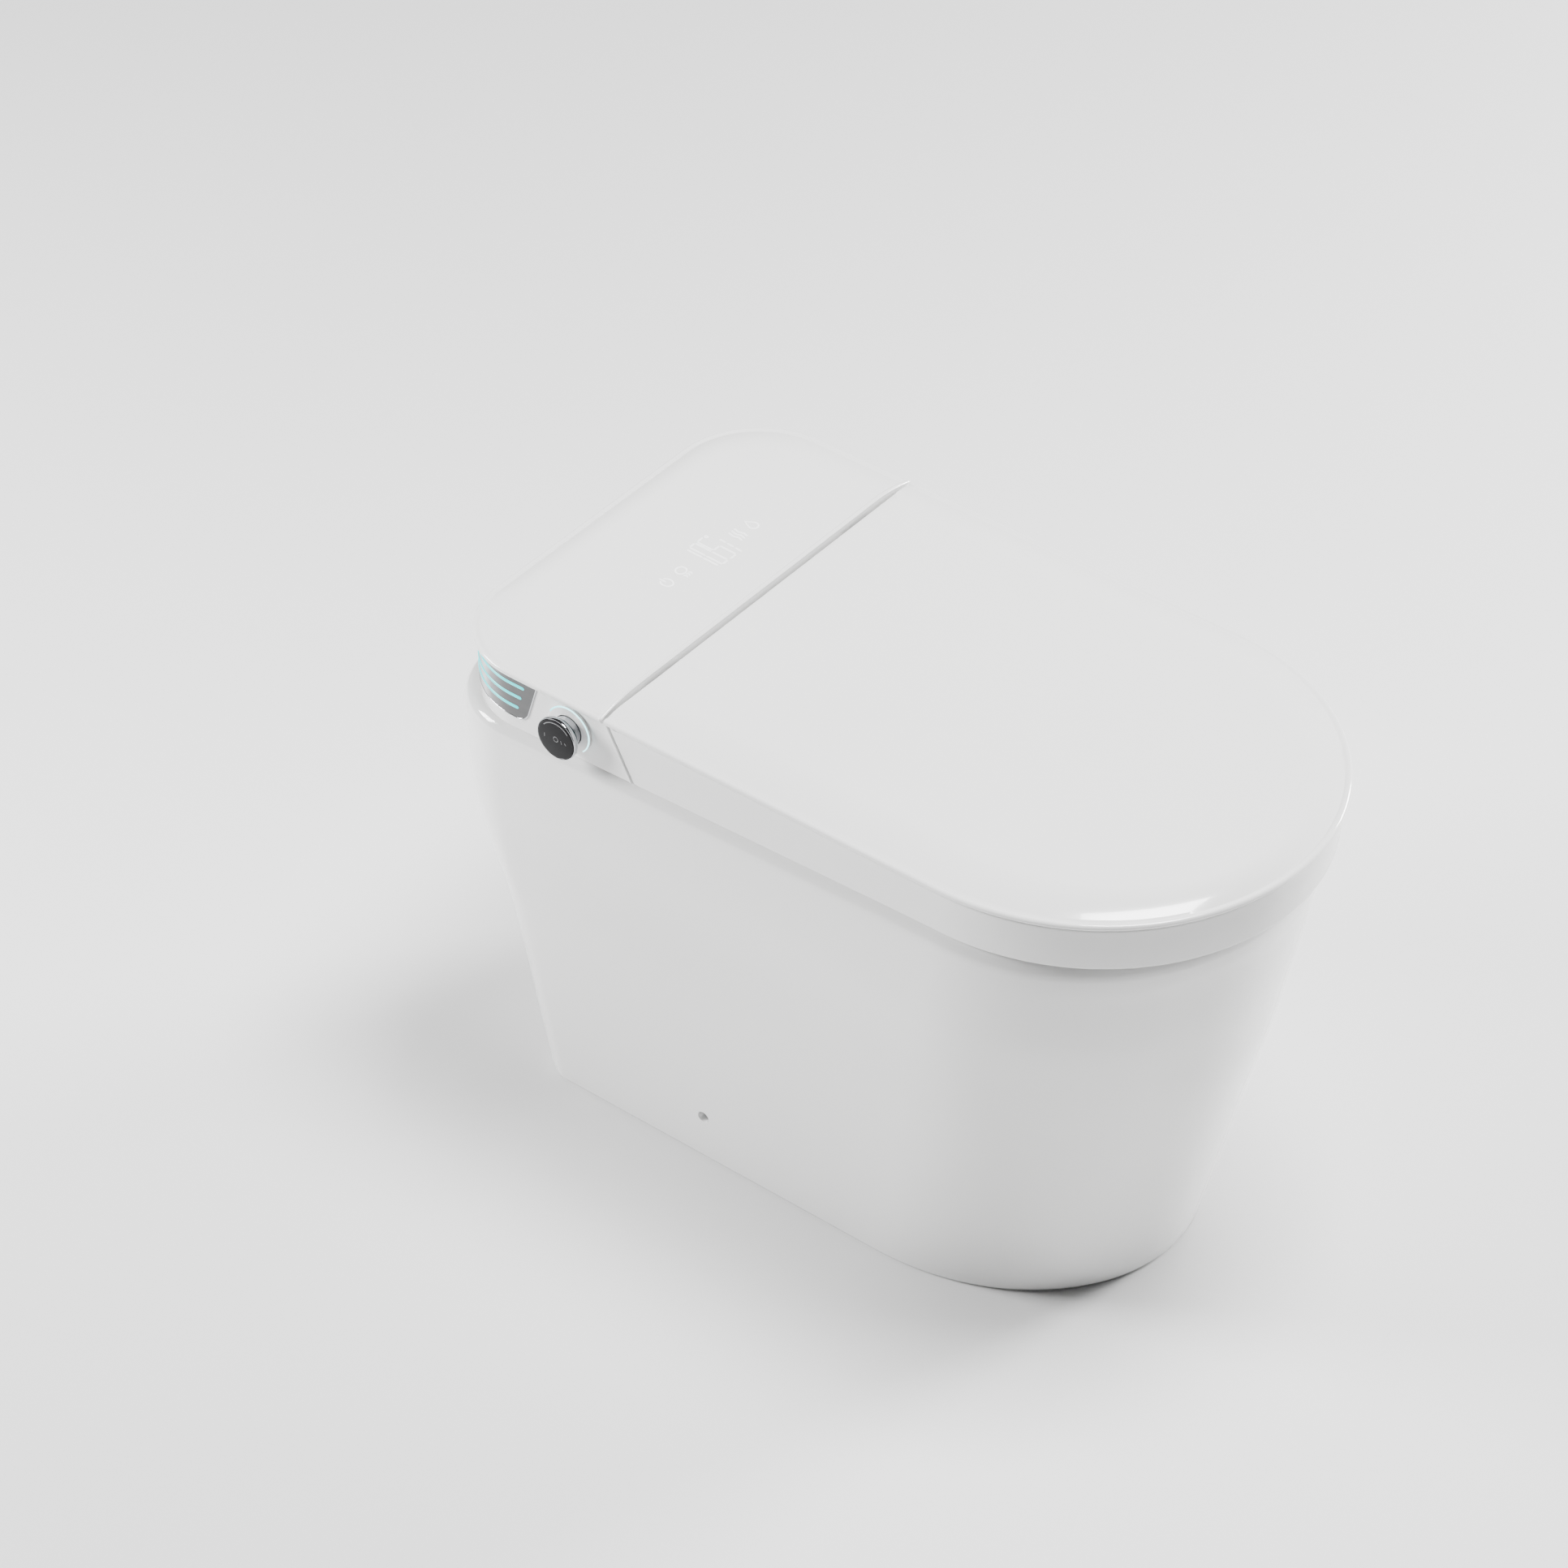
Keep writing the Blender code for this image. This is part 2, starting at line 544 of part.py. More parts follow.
def build_rack_drive(side, name, body):
    """A toothed rack on the outer flank of a nozzle, the pinion that drives it, and its motor."""
    base = side * (NOZZLE_SPACING / 2 + NOZZLE_R)
    profile = [(RACK_START, -0.0012)]
    for i in range(RACK_TEETH):
        d = RACK_START + i * RACK_PITCH
        profile += [(d + 0.20 * RACK_PITCH, 0.0), (d + 0.40 * RACK_PITCH, 0.0020),
                    (d + 0.56 * RACK_PITCH, 0.0020), (d + 0.76 * RACK_PITCH, 0.0)]
    profile.append((RACK_START + RACK_TEETH * RACK_PITCH + 0.001, -0.0012))
    rings = []
    for h in (-0.0025, 0.0025):
        rings.append([tuple(along_nozzle(d, base + side * (out - 0.0003), h)) for d, out in profile])
    join(body, loft(rings, "tool_rack_" + name))
    normal = along_nozzle(0, 0, 1) - along_nozzle(0, 0, 0)
    centre = pinion_centre(side)
    half_turn = pi if side > 0 else 0.0
    star(centre, normal, 0.0022, (12, ((-0.34, 0.0048), (-0.17, 0.0069), (0.17, 0.0069), (0.34, 0.0048))),
         0.0016, name + "_nozzle_pinion", "white", half_turn)
    low = centre - normal * 0.0245
    turned(low, normal, [(0, 0.0092), (0.0175, 0.0092), (0.01751, 0.0015), (0.0275, 0.0015)],
           name + "_nozzle_motor", "steel", 16)
    return rod(low, low + normal * 0.0180, 0.0096, "tool_motor_room_" + name, sides=16)


# ---------------------------------------------------------------- air

DRYER_AT = Vector((-0.052, 0.262, 0.352))
FAN_AT = Vector((0.1005, 0.226, 0.4195))


def build_air():
    centre, fan_at = DRYER_AT, FAN_AT
    dryer = turned(centre, (0, 0, 1), [(0, 0.0260), (0.036, 0.0260)], "dryer_housing", "grey")
    join(dryer, box((-0.064, 0.105, 0.358), (-0.040, 0.250, 0.380), "tool_dryer_duct"))
    cut(dryer, turned(centre + Vector((0, 0, 0.002)), (0, 0, 1), [(0, 0.0230), (0.032, 0.0230)],
                      "tool_dryer_inside"))
    cut(dryer, rod(centre + Vector((0, 0, 0.03)), centre + Vector((0, 0, 0.05)), 0.0130,
                   "tool_dryer_intake"))
    cut(dryer, box((-0.0625, 0.09, 0.3595), (-0.0415, 0.258, 0.3785), "tool_dryer_passage"))
    join(dryer, rod(centre + Vector((0, 0, 0.001)), centre + Vector((0, 0, 0.026)), 0.0030,
                    "tool_dryer_post", sides=16))
    blades = (9, ((-0.14, 0.0085), (-0.10, 0.0195), (0.06, 0.0195), (0.14, 0.0085)))
    star(centre + Vector((0, 0, 0.0160)), (0, 0, 1), 0.0115, blades, 0.0031, "dryer_impeller", "white")
    duct = box((0.0850, 0.206, 0.4030), (0.1170, 0.246, 0.4365), "deodoriser_housing", "grey")
    cut(duct, rod((0.08, fan_at.y, fan_at.z), (0.12, fan_at.y, fan_at.z), 0.0150, "tool_fan_bore"))
    join(duct, box((0.1125, 0.2070, 0.4175), (0.1160, 0.2450, 0.4215), "tool_fan_spider"))
    join(duct, rod((0.0925, fan_at.y, fan_at.z), (0.1140, fan_at.y, fan_at.z), 0.0020, "tool_fan_post",
                   sides=16))
    blades = (7, ((-0.20, 0.0050), (-0.12, 0.0138), (0.10, 0.0138), (0.20, 0.0050)))
    star(fan_at, (1, 0, 0), 0.0060, blades, 0.0021, "deodoriser_fan", "white")
    box((0.1190, 0.2050, 0.4068), (0.1898, 0.2450, 0.4322), "filter_cartridge", "white")


# ---------------------------------------------------------------- lid

def lug_zones(name, y0, y1, z0, z1, x0, x1):
    return [box((min(s * x0, s * x1), y0, z0), (max(s * x0, s * x1), y1, z1), f"tool_{name}_{n}")
            for s, n in ((-1, "left"), (1, "right"))]


def build_lid():
    lid = crowned(0, "lid_shell", "white")
    turns = [radians(90 - 6 * i) for i in range(25)]
    outline = [(HINGE_Y, 0.60)] + [(HINGE_Y + BARREL_R * cos(a), HINGE_Z + BARREL_R * sin(a)) for a in turns]
    outline += [(HINGE_Y + 0.004, 0.40), (0.60, 0.40), (0.60, 0.60)]
    cut(lid, loft([[(x, y, z) for y, z in outline] for x in (-0.3, 0.3)], "tool_lid_rear"))
    under = crowned(1, "tool_lid_under")
    cut(under, box((-0.3, HINGE_Y - 0.007, 0.40), (0.3, 0.5, 0.50), "tool_lid_under_rear"))
    cut(lid, under)
    join(lid, rod((-0.105, HINGE_Y, HINGE_Z), (0.105, HINGE_Y, HINGE_Z), BARREL_R - 0.00015,
                  "tool_lid_barrel", sides=32))
    for side, name in ((-1, "left"), (1, "right")):
        clear = rod((side * 0.1048, HINGE_Y, HINGE_Z), (side * 0.1395, HINGE_Y, HINGE_Z), 0.0053,
                    "tool_lid_lug_room_" + name)
        bore = rod((side * 0.045, HINGE_Y, HINGE_Z), (side * 0.125, HINGE_Y, HINGE_Z), 0.0057,
                   "tool_lid_damper_bore_" + name)
        cut(lid, clear, bore)
        damper = rod((side * 0.0455, HINGE_Y, HINGE_Z), (side * 0.1045, HINGE_Y, HINGE_Z), 0.0054,
                     "hinge_damper_" + name, "grey")
        cut(damper, rod((side * 0.0920, HINGE_Y, HINGE_Z), (side * 0.12, HINGE_Y, HINGE_Z),
                        PIN_R + PIN_CLEAR, "tool_damper_bore_" + name))
        rod((side * 0.0925, HINGE_Y, HINGE_Z), (side * 0.1386, HINGE_Y, HINGE_Z), PIN_R,
            "hinge_pin_" + name, "steel")
        box((side * 0.12 - 0.008, -0.208, 0.4446), (side * 0.12 + 0.008, -0.192, 0.4545),
            "lid_bumper_" + name, "rubber")
    cut(lid, *lug_zones("lid_lug_way", HINGE_Y - 0.0075, HINGE_Y + 0.012, 0.43, 0.4500, 0.1054, 0.1395))
    cut(lid, *lug_zones("lid_lug_sweep", HINGE_Y, HINGE_Y + 0.012, 0.43, 0.4516, 0.1054, 0.1395))
    return lid


# ---------------------------------------------------------------- seat

HOLE_CENTRE = -0.100
HOLE_HALF_WIDTH = 0.105
HOLE_HALF_LENGTH = 0.145


def seat_row(amount, towards, z):
    """Outline inset by an amount, then moved part of the way to the edge of the seat's hole."""
    outline = inset(BAND_INSET + amount, straights=4)
    hole = (HOLE_CENTRE, HOLE_HALF_WIDTH, HOLE_HALF_LENGTH, towards)
    return level([blended(p, *hole) for p in outline], z)


def above_parting(amount):
    return lambda x, y: parting(x, y) + amount


def build_seat():
    rows = ((0.0008, 0, parting), (0.0, 0, above_parting(0.0010)), (0.0, 0, 0.4415), (0.0012, 0, 0.4434),
            (0.0040, 0, 0.4440), (0.0050, 0.45, 0.4430), (0.0050, 0.80, 0.4385), (0.0050, 0.95, 0.4345),
            (0.0050, 1.0, 0.4300), (0.0050, 1.0, 0.4085))
    seat = loft([seat_row(*row) for row in rows], "seat_top", "white", loop=True)
    cut(seat, seam_prism(-0.0020, False, "tool_seat_rear"))
    inner = ((0.0032, 0, 0.38), (0.0032, 0, 0.4405), (0.0060, 0.45, 0.4397), (0.0060, 0.80, 0.4352),
             (0.0060, 0.96, 0.4300), (0.0060, 0.965, 0.38))
    hollow = loft([seat_row(*row) for row in inner], "tool_seat_hollow", loop=True)
    cut(hollow, seam_prism(-0.0055, False, "tool_seat_hollow_rear"))
    cut(seat, hollow)
    cut(seat, rod((-0.2, HINGE_Y, HINGE_Z), (0.2, HINGE_Y, HINGE_Z), 0.0087, "tool_seat_barrel_room",
                  sides=32))
    for side in (-1, 1):
        x0, x1 = sorted((side * 0.1075, side * 0.1215))
        outline = [(HINGE_Y - 0.0012, HINGE_Z - 0.0030), (HINGE_Y - 0.0030, 0.4410), (0.1500, 0.4330),
                   (0.1420, 0.4330), (0.1430, 0.4430), (HINGE_Y - 0.0044, HINGE_Z)]
        lug = loft([[(x, y, z) for y, z in outline] for x in (x0, x1)], f"tool_seat_leg_{x1:.3f}")
        join(lug, rod((x0, HINGE_Y, HINGE_Z), (x1, HINGE_Y, HINGE_Z), LUG_R, f"tool_seat_lug_{x1:.3f}"))
        join(seat, lug)
        cut(seat, rod((x0 - 0.002, HINGE_Y, HINGE_Z), (x1 + 0.002, HINGE_Y, HINGE_Z), PIN_R + PIN_CLEAR,
                      f"tool_seat_bore_{x1:.3f}"))
    cut(seat, box((-0.036, 0.090, 0.38), (0.036, 0.20, 0.4130), "tool_seat_nozzle_way"))
    cut(seat, *lug_zones("seat_leg_way", 0.1430, 0.20, 0.38, 0.46, 0.1225, 0.1395))
    low, high = above_parting(0.0035), above_parting(0.0060)
    floor = loft([seat_row(0.0040, 0, low), seat_row(0.0040, 0, high), seat_row(0.0060, 0.955, high),
                  seat_row(0.0060, 0.955, low)], "seat_base", "white", loop=True)
    cut(floor, seam_prism(-0.0160, False, "tool_seat_base_rear"))
    cut(floor, box((-0.036, 0.100, 0.38), (0.036, 0.20, 0.43), "tool_base_nozzle_way"))
    heater = loft([seat_row(0.006, 0.12, 0.4285), seat_row(0.006, 0.12, 0.4292),
                   seat_row(0.006, 0.90, 0.4292), seat_row(0.006, 0.90, 0.4285)],
                  "seat_heater", "copper", loop=True)
    cut(heater, box((-0.3, 0.110, 0.40), (0.3, 0.5, 0.50), "tool_heater_rear"))
    places = ((-0.062, -0.304), (0.062, -0.304), (-0.166, 0.050), (0.166, 0.050))
    for n, (x, y) in enumerate(places, 1):
        outline = [(x + a * 0.009, y + b * 0.006) for a, b in ((-1, -1), (1, -1), (1, 1), (-1, 1))]
        slab(outline, above_parting(-0.0011), above_parting(0.0031), f"seat_bumper_{n}", "rubber")


def pivot(name, at, *pieces):
    """Hangs the pieces of a moving body from an empty on its joint's axis."""
    empty = bpy.data.objects.new("axis_" + name, None)
    empty.location = at
    empty.empty_display_size = 0.02
    bpy.context.scene.collection.objects.link(empty)
    bpy.context.view_layer.update()
    for piece in pieces:
        held = bpy.data.objects[piece]
        held.parent = empty
        held.matrix_parent_inverse = empty.matrix_world.inverted()


def pinion_centre(side):
    return along_nozzle(PINION_AT, side * (NOZZLE_SPACING / 2 + NOZZLE_R + 0.0070))


def build_pivots():
    hinge = (0, HINGE_Y, HINGE_Z)
    bumpers = [f"seat_bumper_{n}" for n in range(1, 5)]
    pivot("seat_hinge", hinge, "seat_top", "seat_base", "seat_heater", *bumpers)
    pivot("lid_hinge", hinge, "lid_shell", "lid_bumper_left", "lid_bumper_right", "hinge_damper_left",
          "hinge_damper_right")
    pivot("knob", (-0.200, KNOB_Y, KNOB_Z), "knob_shaft", "knob_cap", "knob_glass")
    for side, name in ((-1, "rear"), (1, "front")):
        pivot(name + "_nozzle", along_nozzle(0, side * NOZZLE_SPACING / 2), name + "_nozzle")
        pivot(name + "_pinion", pinion_centre(side), name + "_nozzle_pinion")
    pivot("dryer", DRYER_AT + Vector((0, 0, 0.0160)), "dryer_impeller")
    pivot("odour_fan", FAN_AT, "deodoriser_fan")
    pivot("filter", (0.1545, 0.225, 0.4195), "filter_cartridge")


def build():
    clear_scene()
    build_pan()
    build_floor_fixings()
    build_base_plate()
    housing = build_housing()
    build_cover()
    cut(housing, build_window())
    build_knob()
    build_electrics()
    build_nozzles()
    build_air()
    build_lid()
    build_seat()
    build_pivots()


build()
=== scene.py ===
"""Looks of the one-piece washlet toilet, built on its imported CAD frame.

Metres, +Z up. The user faces -Y, the wall is at +Y, and the control knob is on the -X side.
"""
import json
from math import cos, pi, radians, sin, sqrt

import bmesh
import bpy
from mathutils import Matrix, Vector

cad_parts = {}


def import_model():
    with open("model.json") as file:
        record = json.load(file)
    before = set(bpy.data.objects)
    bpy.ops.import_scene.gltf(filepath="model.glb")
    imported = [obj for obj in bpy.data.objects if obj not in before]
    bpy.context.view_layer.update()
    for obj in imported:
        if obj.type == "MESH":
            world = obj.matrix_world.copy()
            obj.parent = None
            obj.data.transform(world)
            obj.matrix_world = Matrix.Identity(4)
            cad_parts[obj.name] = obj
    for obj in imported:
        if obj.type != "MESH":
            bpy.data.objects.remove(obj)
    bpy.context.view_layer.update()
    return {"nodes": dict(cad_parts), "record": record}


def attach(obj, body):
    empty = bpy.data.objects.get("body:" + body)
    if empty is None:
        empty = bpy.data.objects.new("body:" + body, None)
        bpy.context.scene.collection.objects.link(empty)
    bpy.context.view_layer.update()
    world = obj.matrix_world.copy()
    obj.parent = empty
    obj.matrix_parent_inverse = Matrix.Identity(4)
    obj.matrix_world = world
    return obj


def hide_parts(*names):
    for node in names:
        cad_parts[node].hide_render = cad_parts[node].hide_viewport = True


# Camera
CAMERA_AT = Vector((-2.4956, -1.8020, 2.8946))
CAMERA_LOOK = Vector((0.6075, 0.4732, -0.6380)).normalized()
CAMERA_ROLL = radians(0.248)
CAMERA_LENS = 117.77

# Planform shared by lid, seat and housing
LID_HALF_WIDTH = 0.195
LID_REAR = 0.3374
LID_CORNER = 0.078
FRONT_CENTRE = -0.1494
LID_FRONT = 0.198
BAND_INSET = 0.005
PANEL = (0.150, 0.3074, 0.055, -0.1494, 0.1696)  # flat middle of the crown

# Heights
BAND_LOW = 0.4055
LIP_LOW = 0.4457
LIP_TOP = 0.451
CROWN = 0.458
PARTING_FALL = 0.030
PARTING_Y = -0.132

# Rolled rim round lid and cover
ROLL_R = 0.0026
ROLL_Z = 0.4487

# Hinge of seat and lid, and the seam between them and the housing
HINGE_Y = 0.156
HINGE_Z = 0.450
BARREL_R = 0.008
LUG_R = 0.0045
PIN_R = 0.0024
BORE_R = PIN_R + 0.0004
SEAM_TOP_Y = HINGE_Y + BARREL_R + 0.0025
SEAM_LEAN = 0.54
GAP = 0.0003

# Knob, and the light window behind it
KNOB_Y = 0.2010
KNOB_Z = 0.4226
WALL_X = -0.190
RING_R = 0.0208
DIAL_GLASS_R = 0.0178
SHAFT_ROOM_R = 0.0036
WINDOW_LOW = 0.4060
WINDOW_TOP = 0.4435
WINDOW_FRONT = 0.2345
WINDOW_LEAN = 0.30
WINDOW_WRAP = 76
WINDOW_ROWS = 24
WINDOW_COLUMNS = 40
BAR_LEVELS = (0.4378, 0.4272, 0.4166)
BAR_WRAP = 62
BAR_HALF_WIDTH = 0.0014
BAR_MARGIN = 0.0105 + BAR_HALF_WIDTH

FIXING_Y = 0.1010
FIXING_Z = 0.0472
WHITE = (0.86, 0.86, 0.855)


# ---------------------------------------------------------------- mesh helpers

def finish_mesh(mesh, name):
    bmesh.ops.remove_doubles(mesh, verts=mesh.verts, dist=1e-7)
    bmesh.ops.recalc_face_normals(mesh, faces=mesh.faces)
    data = bpy.data.meshes.new(name)
    mesh.to_mesh(data)
    mesh.free()
    made = bpy.data.objects.new(name, data)
    bpy.context.scene.collection.objects.link(made)
    return made


def loft(rings, name, loop=False):
    """Skins rings of equal length. The ends are capped, or joined to each other if loop is set."""
    mesh = bmesh.new()
    rows = [[mesh.verts.new(p) for p in ring] for ring in rings]
    for low, high in list(zip(rows, rows[1:])) + ([(rows[-1], rows[0])] if loop else []):
        for i in range(len(low)):
            j = (i + 1) % len(low)
            mesh.faces.new((low[i], low[j], high[j], high[i]))
    if not loop:
        mesh.faces.new(rows[0][::-1])
        mesh.faces.new(rows[-1])
    return finish_mesh(mesh, name)


def level(outline, z):
    return [(x, y, z(x, y) if callable(z) else z) for x, y in outline]


def box(low, high, name):
    (x0, y0, z0), (x1, y1, z1) = low, high
    outline = [(x0, y0), (x1, y0), (x1, y1), (x0, y1)]
    return loft([level(outline, z0), level(outline, z1)], name)


def circle(centre, axis, radius, sides):
    axis = Vector(axis).normalized()
    across = Vector((1, 0, 0)) if abs(axis.x) < 0.9 else Vector((0, 1, 0))
    u = (across - axis * across.dot(axis)).normalized()
    v = axis.cross(u)
    turns = [2 * pi * i / sides for i in range(sides)]
    return [tuple(Vector(centre) + (u * cos(a) + v * sin(a)) * radius) for a in turns]


def turned(start, axis, profile, name, sides=96, loop=False):
    """A solid of revolution: profile holds (distance along axis, radius)."""
    axis = Vector(axis).normalized()
    return loft([circle(Vector(start) + axis * s, axis, r, sides) for s, r in profile], name, loop)


def rod(start, end, radius, name, sides=48):
    along = Vector(end) - Vector(start)
    return turned(start, along, [(0, radius), (along.length, radius)], name, sides)


def sweep(path, ups, width, height, name, sides=12):
    """A bar of elliptical section along a path. ups holds the surface normal at each point."""
    rings = []
    last = len(path) - 1
    for i, (point, up) in enumerate(zip(path, ups)):
        along = (path[min(i + 1, last)] - path[max(i - 1, 0)]).normalized()
        side = up.cross(along).normalized()
        rings.append((point, along, side, up, 1.0))
    turns = [2 * pi * k / sides for k in range(sides)]
    skins = []
    for point, _, side, up, size in rounded_ends(rings, width):
        skins.append([point + side * (width * size * cos(a)) + up * (height * size * sin(a)) for a in turns])
    return loft(skins, name)


def rounded_ends(rings, width):
    """Adds shrinking rings past both ends of a sweep."""
    steps = [radians(a) for a in (30, 55, 75, 88)]
    point, along, side, up, _ = rings[0]
    head = [(point - along * (width * sin(a)), along, side, up, cos(a)) for a in reversed(steps)]
    point, along, side, up, _ = rings[-1]
    tail = [(point + along * (width * sin(a)), along, side, up, cos(a)) for a in steps]
    return head + rings + tail


def carve(target, *steps):
    """Applies Booleans one by one, given as (operation, tool), and removes the tools."""
    for operation, tool in steps:
        step = target.modifiers.new(operation, "BOOLEAN")
        step.operation = operation
        step.solver = "EXACT"
        step.object = tool
        graph = bpy.context.evaluated_depsgraph_get()
        target.data = bpy.data.meshes.new_from_object(target.evaluated_get(graph))
        target.modifiers.clear()
        bpy.data.objects.remove(tool)
    return target


def minus(*tools):
    return [("DIFFERENCE", tool) for tool in tools]


def plus(*tools):
    return [("UNION", tool) for tool in tools]


def dress(piece, body, slot, look, *nodes, angle=38):
    """Gives a new piece its shading, material and body, and hides the CAD nodes it stands for. The slot
    argument is not used.
    """
    piece.data.shade_smooth()
    piece.data.set_sharp_from_angle(angle=radians(angle))
    piece.data.materials.clear()
    piece.data.materials.append(look)
    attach(piece, body)
    if nodes:
        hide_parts(*nodes)
    return piece


# ---------------------------------------------------------------- shared outlines

def spread(start, end, steps):
    return [tuple(a + (b - a) * i / steps for a, b in zip(start, end)) for i in range(1, steps)]


def planform(half_width, rear, corner, centre, front, sides=112, corners=18, straights=8):
    """Square-shouldered back, straight sides and a half-ellipse front, anticlockwise."""
    points = []
    for x, start in ((half_width - corner, 0.0), (corner - half_width, pi / 2)):
        for i in range(corners + 1):
            a = start + pi / 2 * i / corners
            points.append((x + corner * cos(a), rear - corner + corner * sin(a)))
        if x > 0:
            points += spread(points[-1], (-points[-1][0], rear), straights)
    points += spread(points[-1], (-half_width, centre), straights)
    for i in range(sides + 1):
        a = pi + pi * i / sides
        points.append((half_width * cos(a), centre + front * sin(a)))
    points += spread(points[-1], points[0], straights)
    return points


def inset(amount):
    """The lid's planform moved inwards by an amount."""
    return planform(LID_HALF_WIDTH - amount, LID_REAR - amount, LID_CORNER - amount,
                    FRONT_CENTRE, LID_FRONT - amount)


def parting(_, y):
    return BAND_LOW - PARTING_FALL * max(0.0, y - PARTING_Y)


def rear_parting(_, y):
    return BAND_LOW - PARTING_FALL * (y - PARTING_Y)


def above(height, amount):
    return lambda x, y: height(x, y) + amount


def seam_y(z, back=0.0):
    top = LIP_LOW + 0.001
    return SEAM_TOP_Y + back - SEAM_LEAN * (top - min(z, top))


def seam_prism(back, front_side, name):
    """A wide wedge on one side of the leaning seam, for splitting seat from housing."""
    far = -0.6 if front_side else 0.6
    low, top = 0.30, 0.48
    outline = [(seam_y(low, back), low), (seam_y(LIP_LOW + 0.001, back), LIP_LOW + 0.001),
               (seam_y(top, back), top), (far, top), (far, low)]
    return loft([[(x, y, z) for y, z in outline] for x in (-0.3, 0.3)], name)


def ellipse(centre_y, half_width, half_length, z, sides=96):
    turns = [2 * pi * i / sides for i in range(sides)]
    return [(half_width * cos(a), centre_y + half_length * sin(a), z) for a in turns]


def blended(point, centre_y, half_width, half_length, towards):
    """A point moved part of the way to where its direction meets an ellipse on the centre line."""
    x, y = point
    turn = Vector((x / half_width, (y - centre_y) / half_length)).normalized()
    edge = (turn.x * half_width, centre_y + turn.y * half_length)
    return x + (edge[0] - x) * towards, y + (edge[1] - y) * towards


def eased(rows, at):
    """Values of a table at a height, on a smooth curve through its rows. The first column is the height."""
    last = len(rows) - 2
    k = min(max(sum(1 for row in rows if row[0] <= at) - 1, 0), last)
    p0, p1, p2, p3 = (rows[min(max(i, 0), len(rows) - 1)] for i in (k - 1, k, k + 1, k + 2))
    t = (at - p1[0]) / (p2[0] - p1[0])
    found = []
    for a, b, c, d in zip(p0[1:], p1[1:], p2[1:], p3[1:]):
        low = (c - a) / max(p2[0] - p0[0], 1e-9)
        high = (d - b) / max(p3[0] - p1[0], 1e-9)
        span = p2[0] - p1[0]
        found.append((2 * t ** 3 - 3 * t ** 2 + 1) * b + (t ** 3 - 2 * t ** 2 + t) * span * low
                     + (3 * t ** 2 - 2 * t ** 3) * c + (t ** 3 - t ** 2) * span * high)
    return found


# ---------------------------------------------------------------- materials

def material(name, base, rough, rough_spread=0.03, tone=0.02, patch=7.0, grain=900.0, bump=0.02,
             depth=0.0001, metallic=0.0, coat=0.0, specular=0.5):
    """A shader whose colour drifts softly, whose roughness is uneven and whose surface has a fine grain."""
    made = bpy.data.materials.new(name)
    made.use_nodes = True
    nodes, links = made.node_tree.nodes, made.node_tree.links
    shader = nodes["Principled BSDF"]
    shader.inputs["Metallic"].default_value = metallic
    shader.inputs["Coat Weight"].default_value = coat
    shader.inputs["Specular IOR Level"].default_value = specular
    place = nodes.new("ShaderNodeTexCoord")
    drift = nodes.new("ShaderNodeTexNoise")
    drift.inputs["Scale"].default_value = patch
    drift.inputs["Detail"].default_value = 3.0
    ramp = nodes.new("ShaderNodeValToRGB")
    ramp.color_ramp.elements[0].position = 0.30
    ramp.color_ramp.elements[1].position = 0.70
    ramp.color_ramp.elements[0].color = (*[c * (1 - tone) for c in base], 1)
    ramp.color_ramp.elements[1].color = (*[min(c * (1 + tone), 1.0) for c in base], 1)
    fine = nodes.new("ShaderNodeTexNoise")
    fine.inputs["Scale"].default_value = grain
    fine.inputs["Detail"].default_value = 2.0
    spread_map = nodes.new("ShaderNodeMapRange")
    spread_map.inputs["From Min"].default_value = 0.3
    spread_map.inputs["From Max"].default_value = 0.7
    spread_map.inputs["To Min"].default_value = max(rough - rough_spread, 0.01)
    spread_map.inputs["To Max"].default_value = rough + rough_spread
    relief = nodes.new("ShaderNodeBump")
    relief.inputs["Strength"].default_value = bump
    relief.inputs["Distance"].default_value = depth
    links.new(place.outputs["Object"], drift.inputs["Vector"])
    links.new(place.outputs["Object"], fine.inputs["Vector"])
    links.new(drift.outputs["Fac"], ramp.inputs["Fac"])
    links.new(ramp.outputs["Color"], shader.inputs["Base Color"])
    links.new(drift.outputs["Fac"], spread_map.inputs["Value"])
    links.new(spread_map.outputs["Result"], shader.inputs["Roughness"])
    links.new(fine.outputs["Fac"], relief.inputs["Height"])
    links.new(relief.outputs["Normal"], shader.inputs["Normal"])
    return made


def glowing(name, dim, bright, strength, axis=1, low=0.0, high=1.0, body=1.0):
    """A light guide whose glow runs from dim to bright along one axis. body scales its unlit colour."""
    made = material(name, [c * body for c in bright], 0.25, tone=0.01)
    nodes, links = made.node_tree.nodes, made.node_tree.links
    shader = nodes["Principled BSDF"]
    split = nodes.new("ShaderNodeSeparateXYZ")
    place = nodes.new("ShaderNodeTexCoord")
    run = nodes.new("ShaderNodeMapRange")
    run.inputs["From Min"].default_value = low
    run.inputs["From Max"].default_value = high
    ramp = nodes.new("ShaderNodeValToRGB")
    ramp.color_ramp.elements[0].color = (*dim, 1)
    ramp.color_ramp.elements[1].color = (*bright, 1)
    links.new(place.outputs["Object"], split.inputs["Vector"])
    links.new(split.outputs[axis], run.inputs["Value"])
    links.new(run.outputs["Result"], ramp.inputs["Fac"])
    links.new(ramp.outputs["Color"], shader.inputs["Emission Color"])
    shader.inputs["Emission Strength"].default_value = strength
    return made


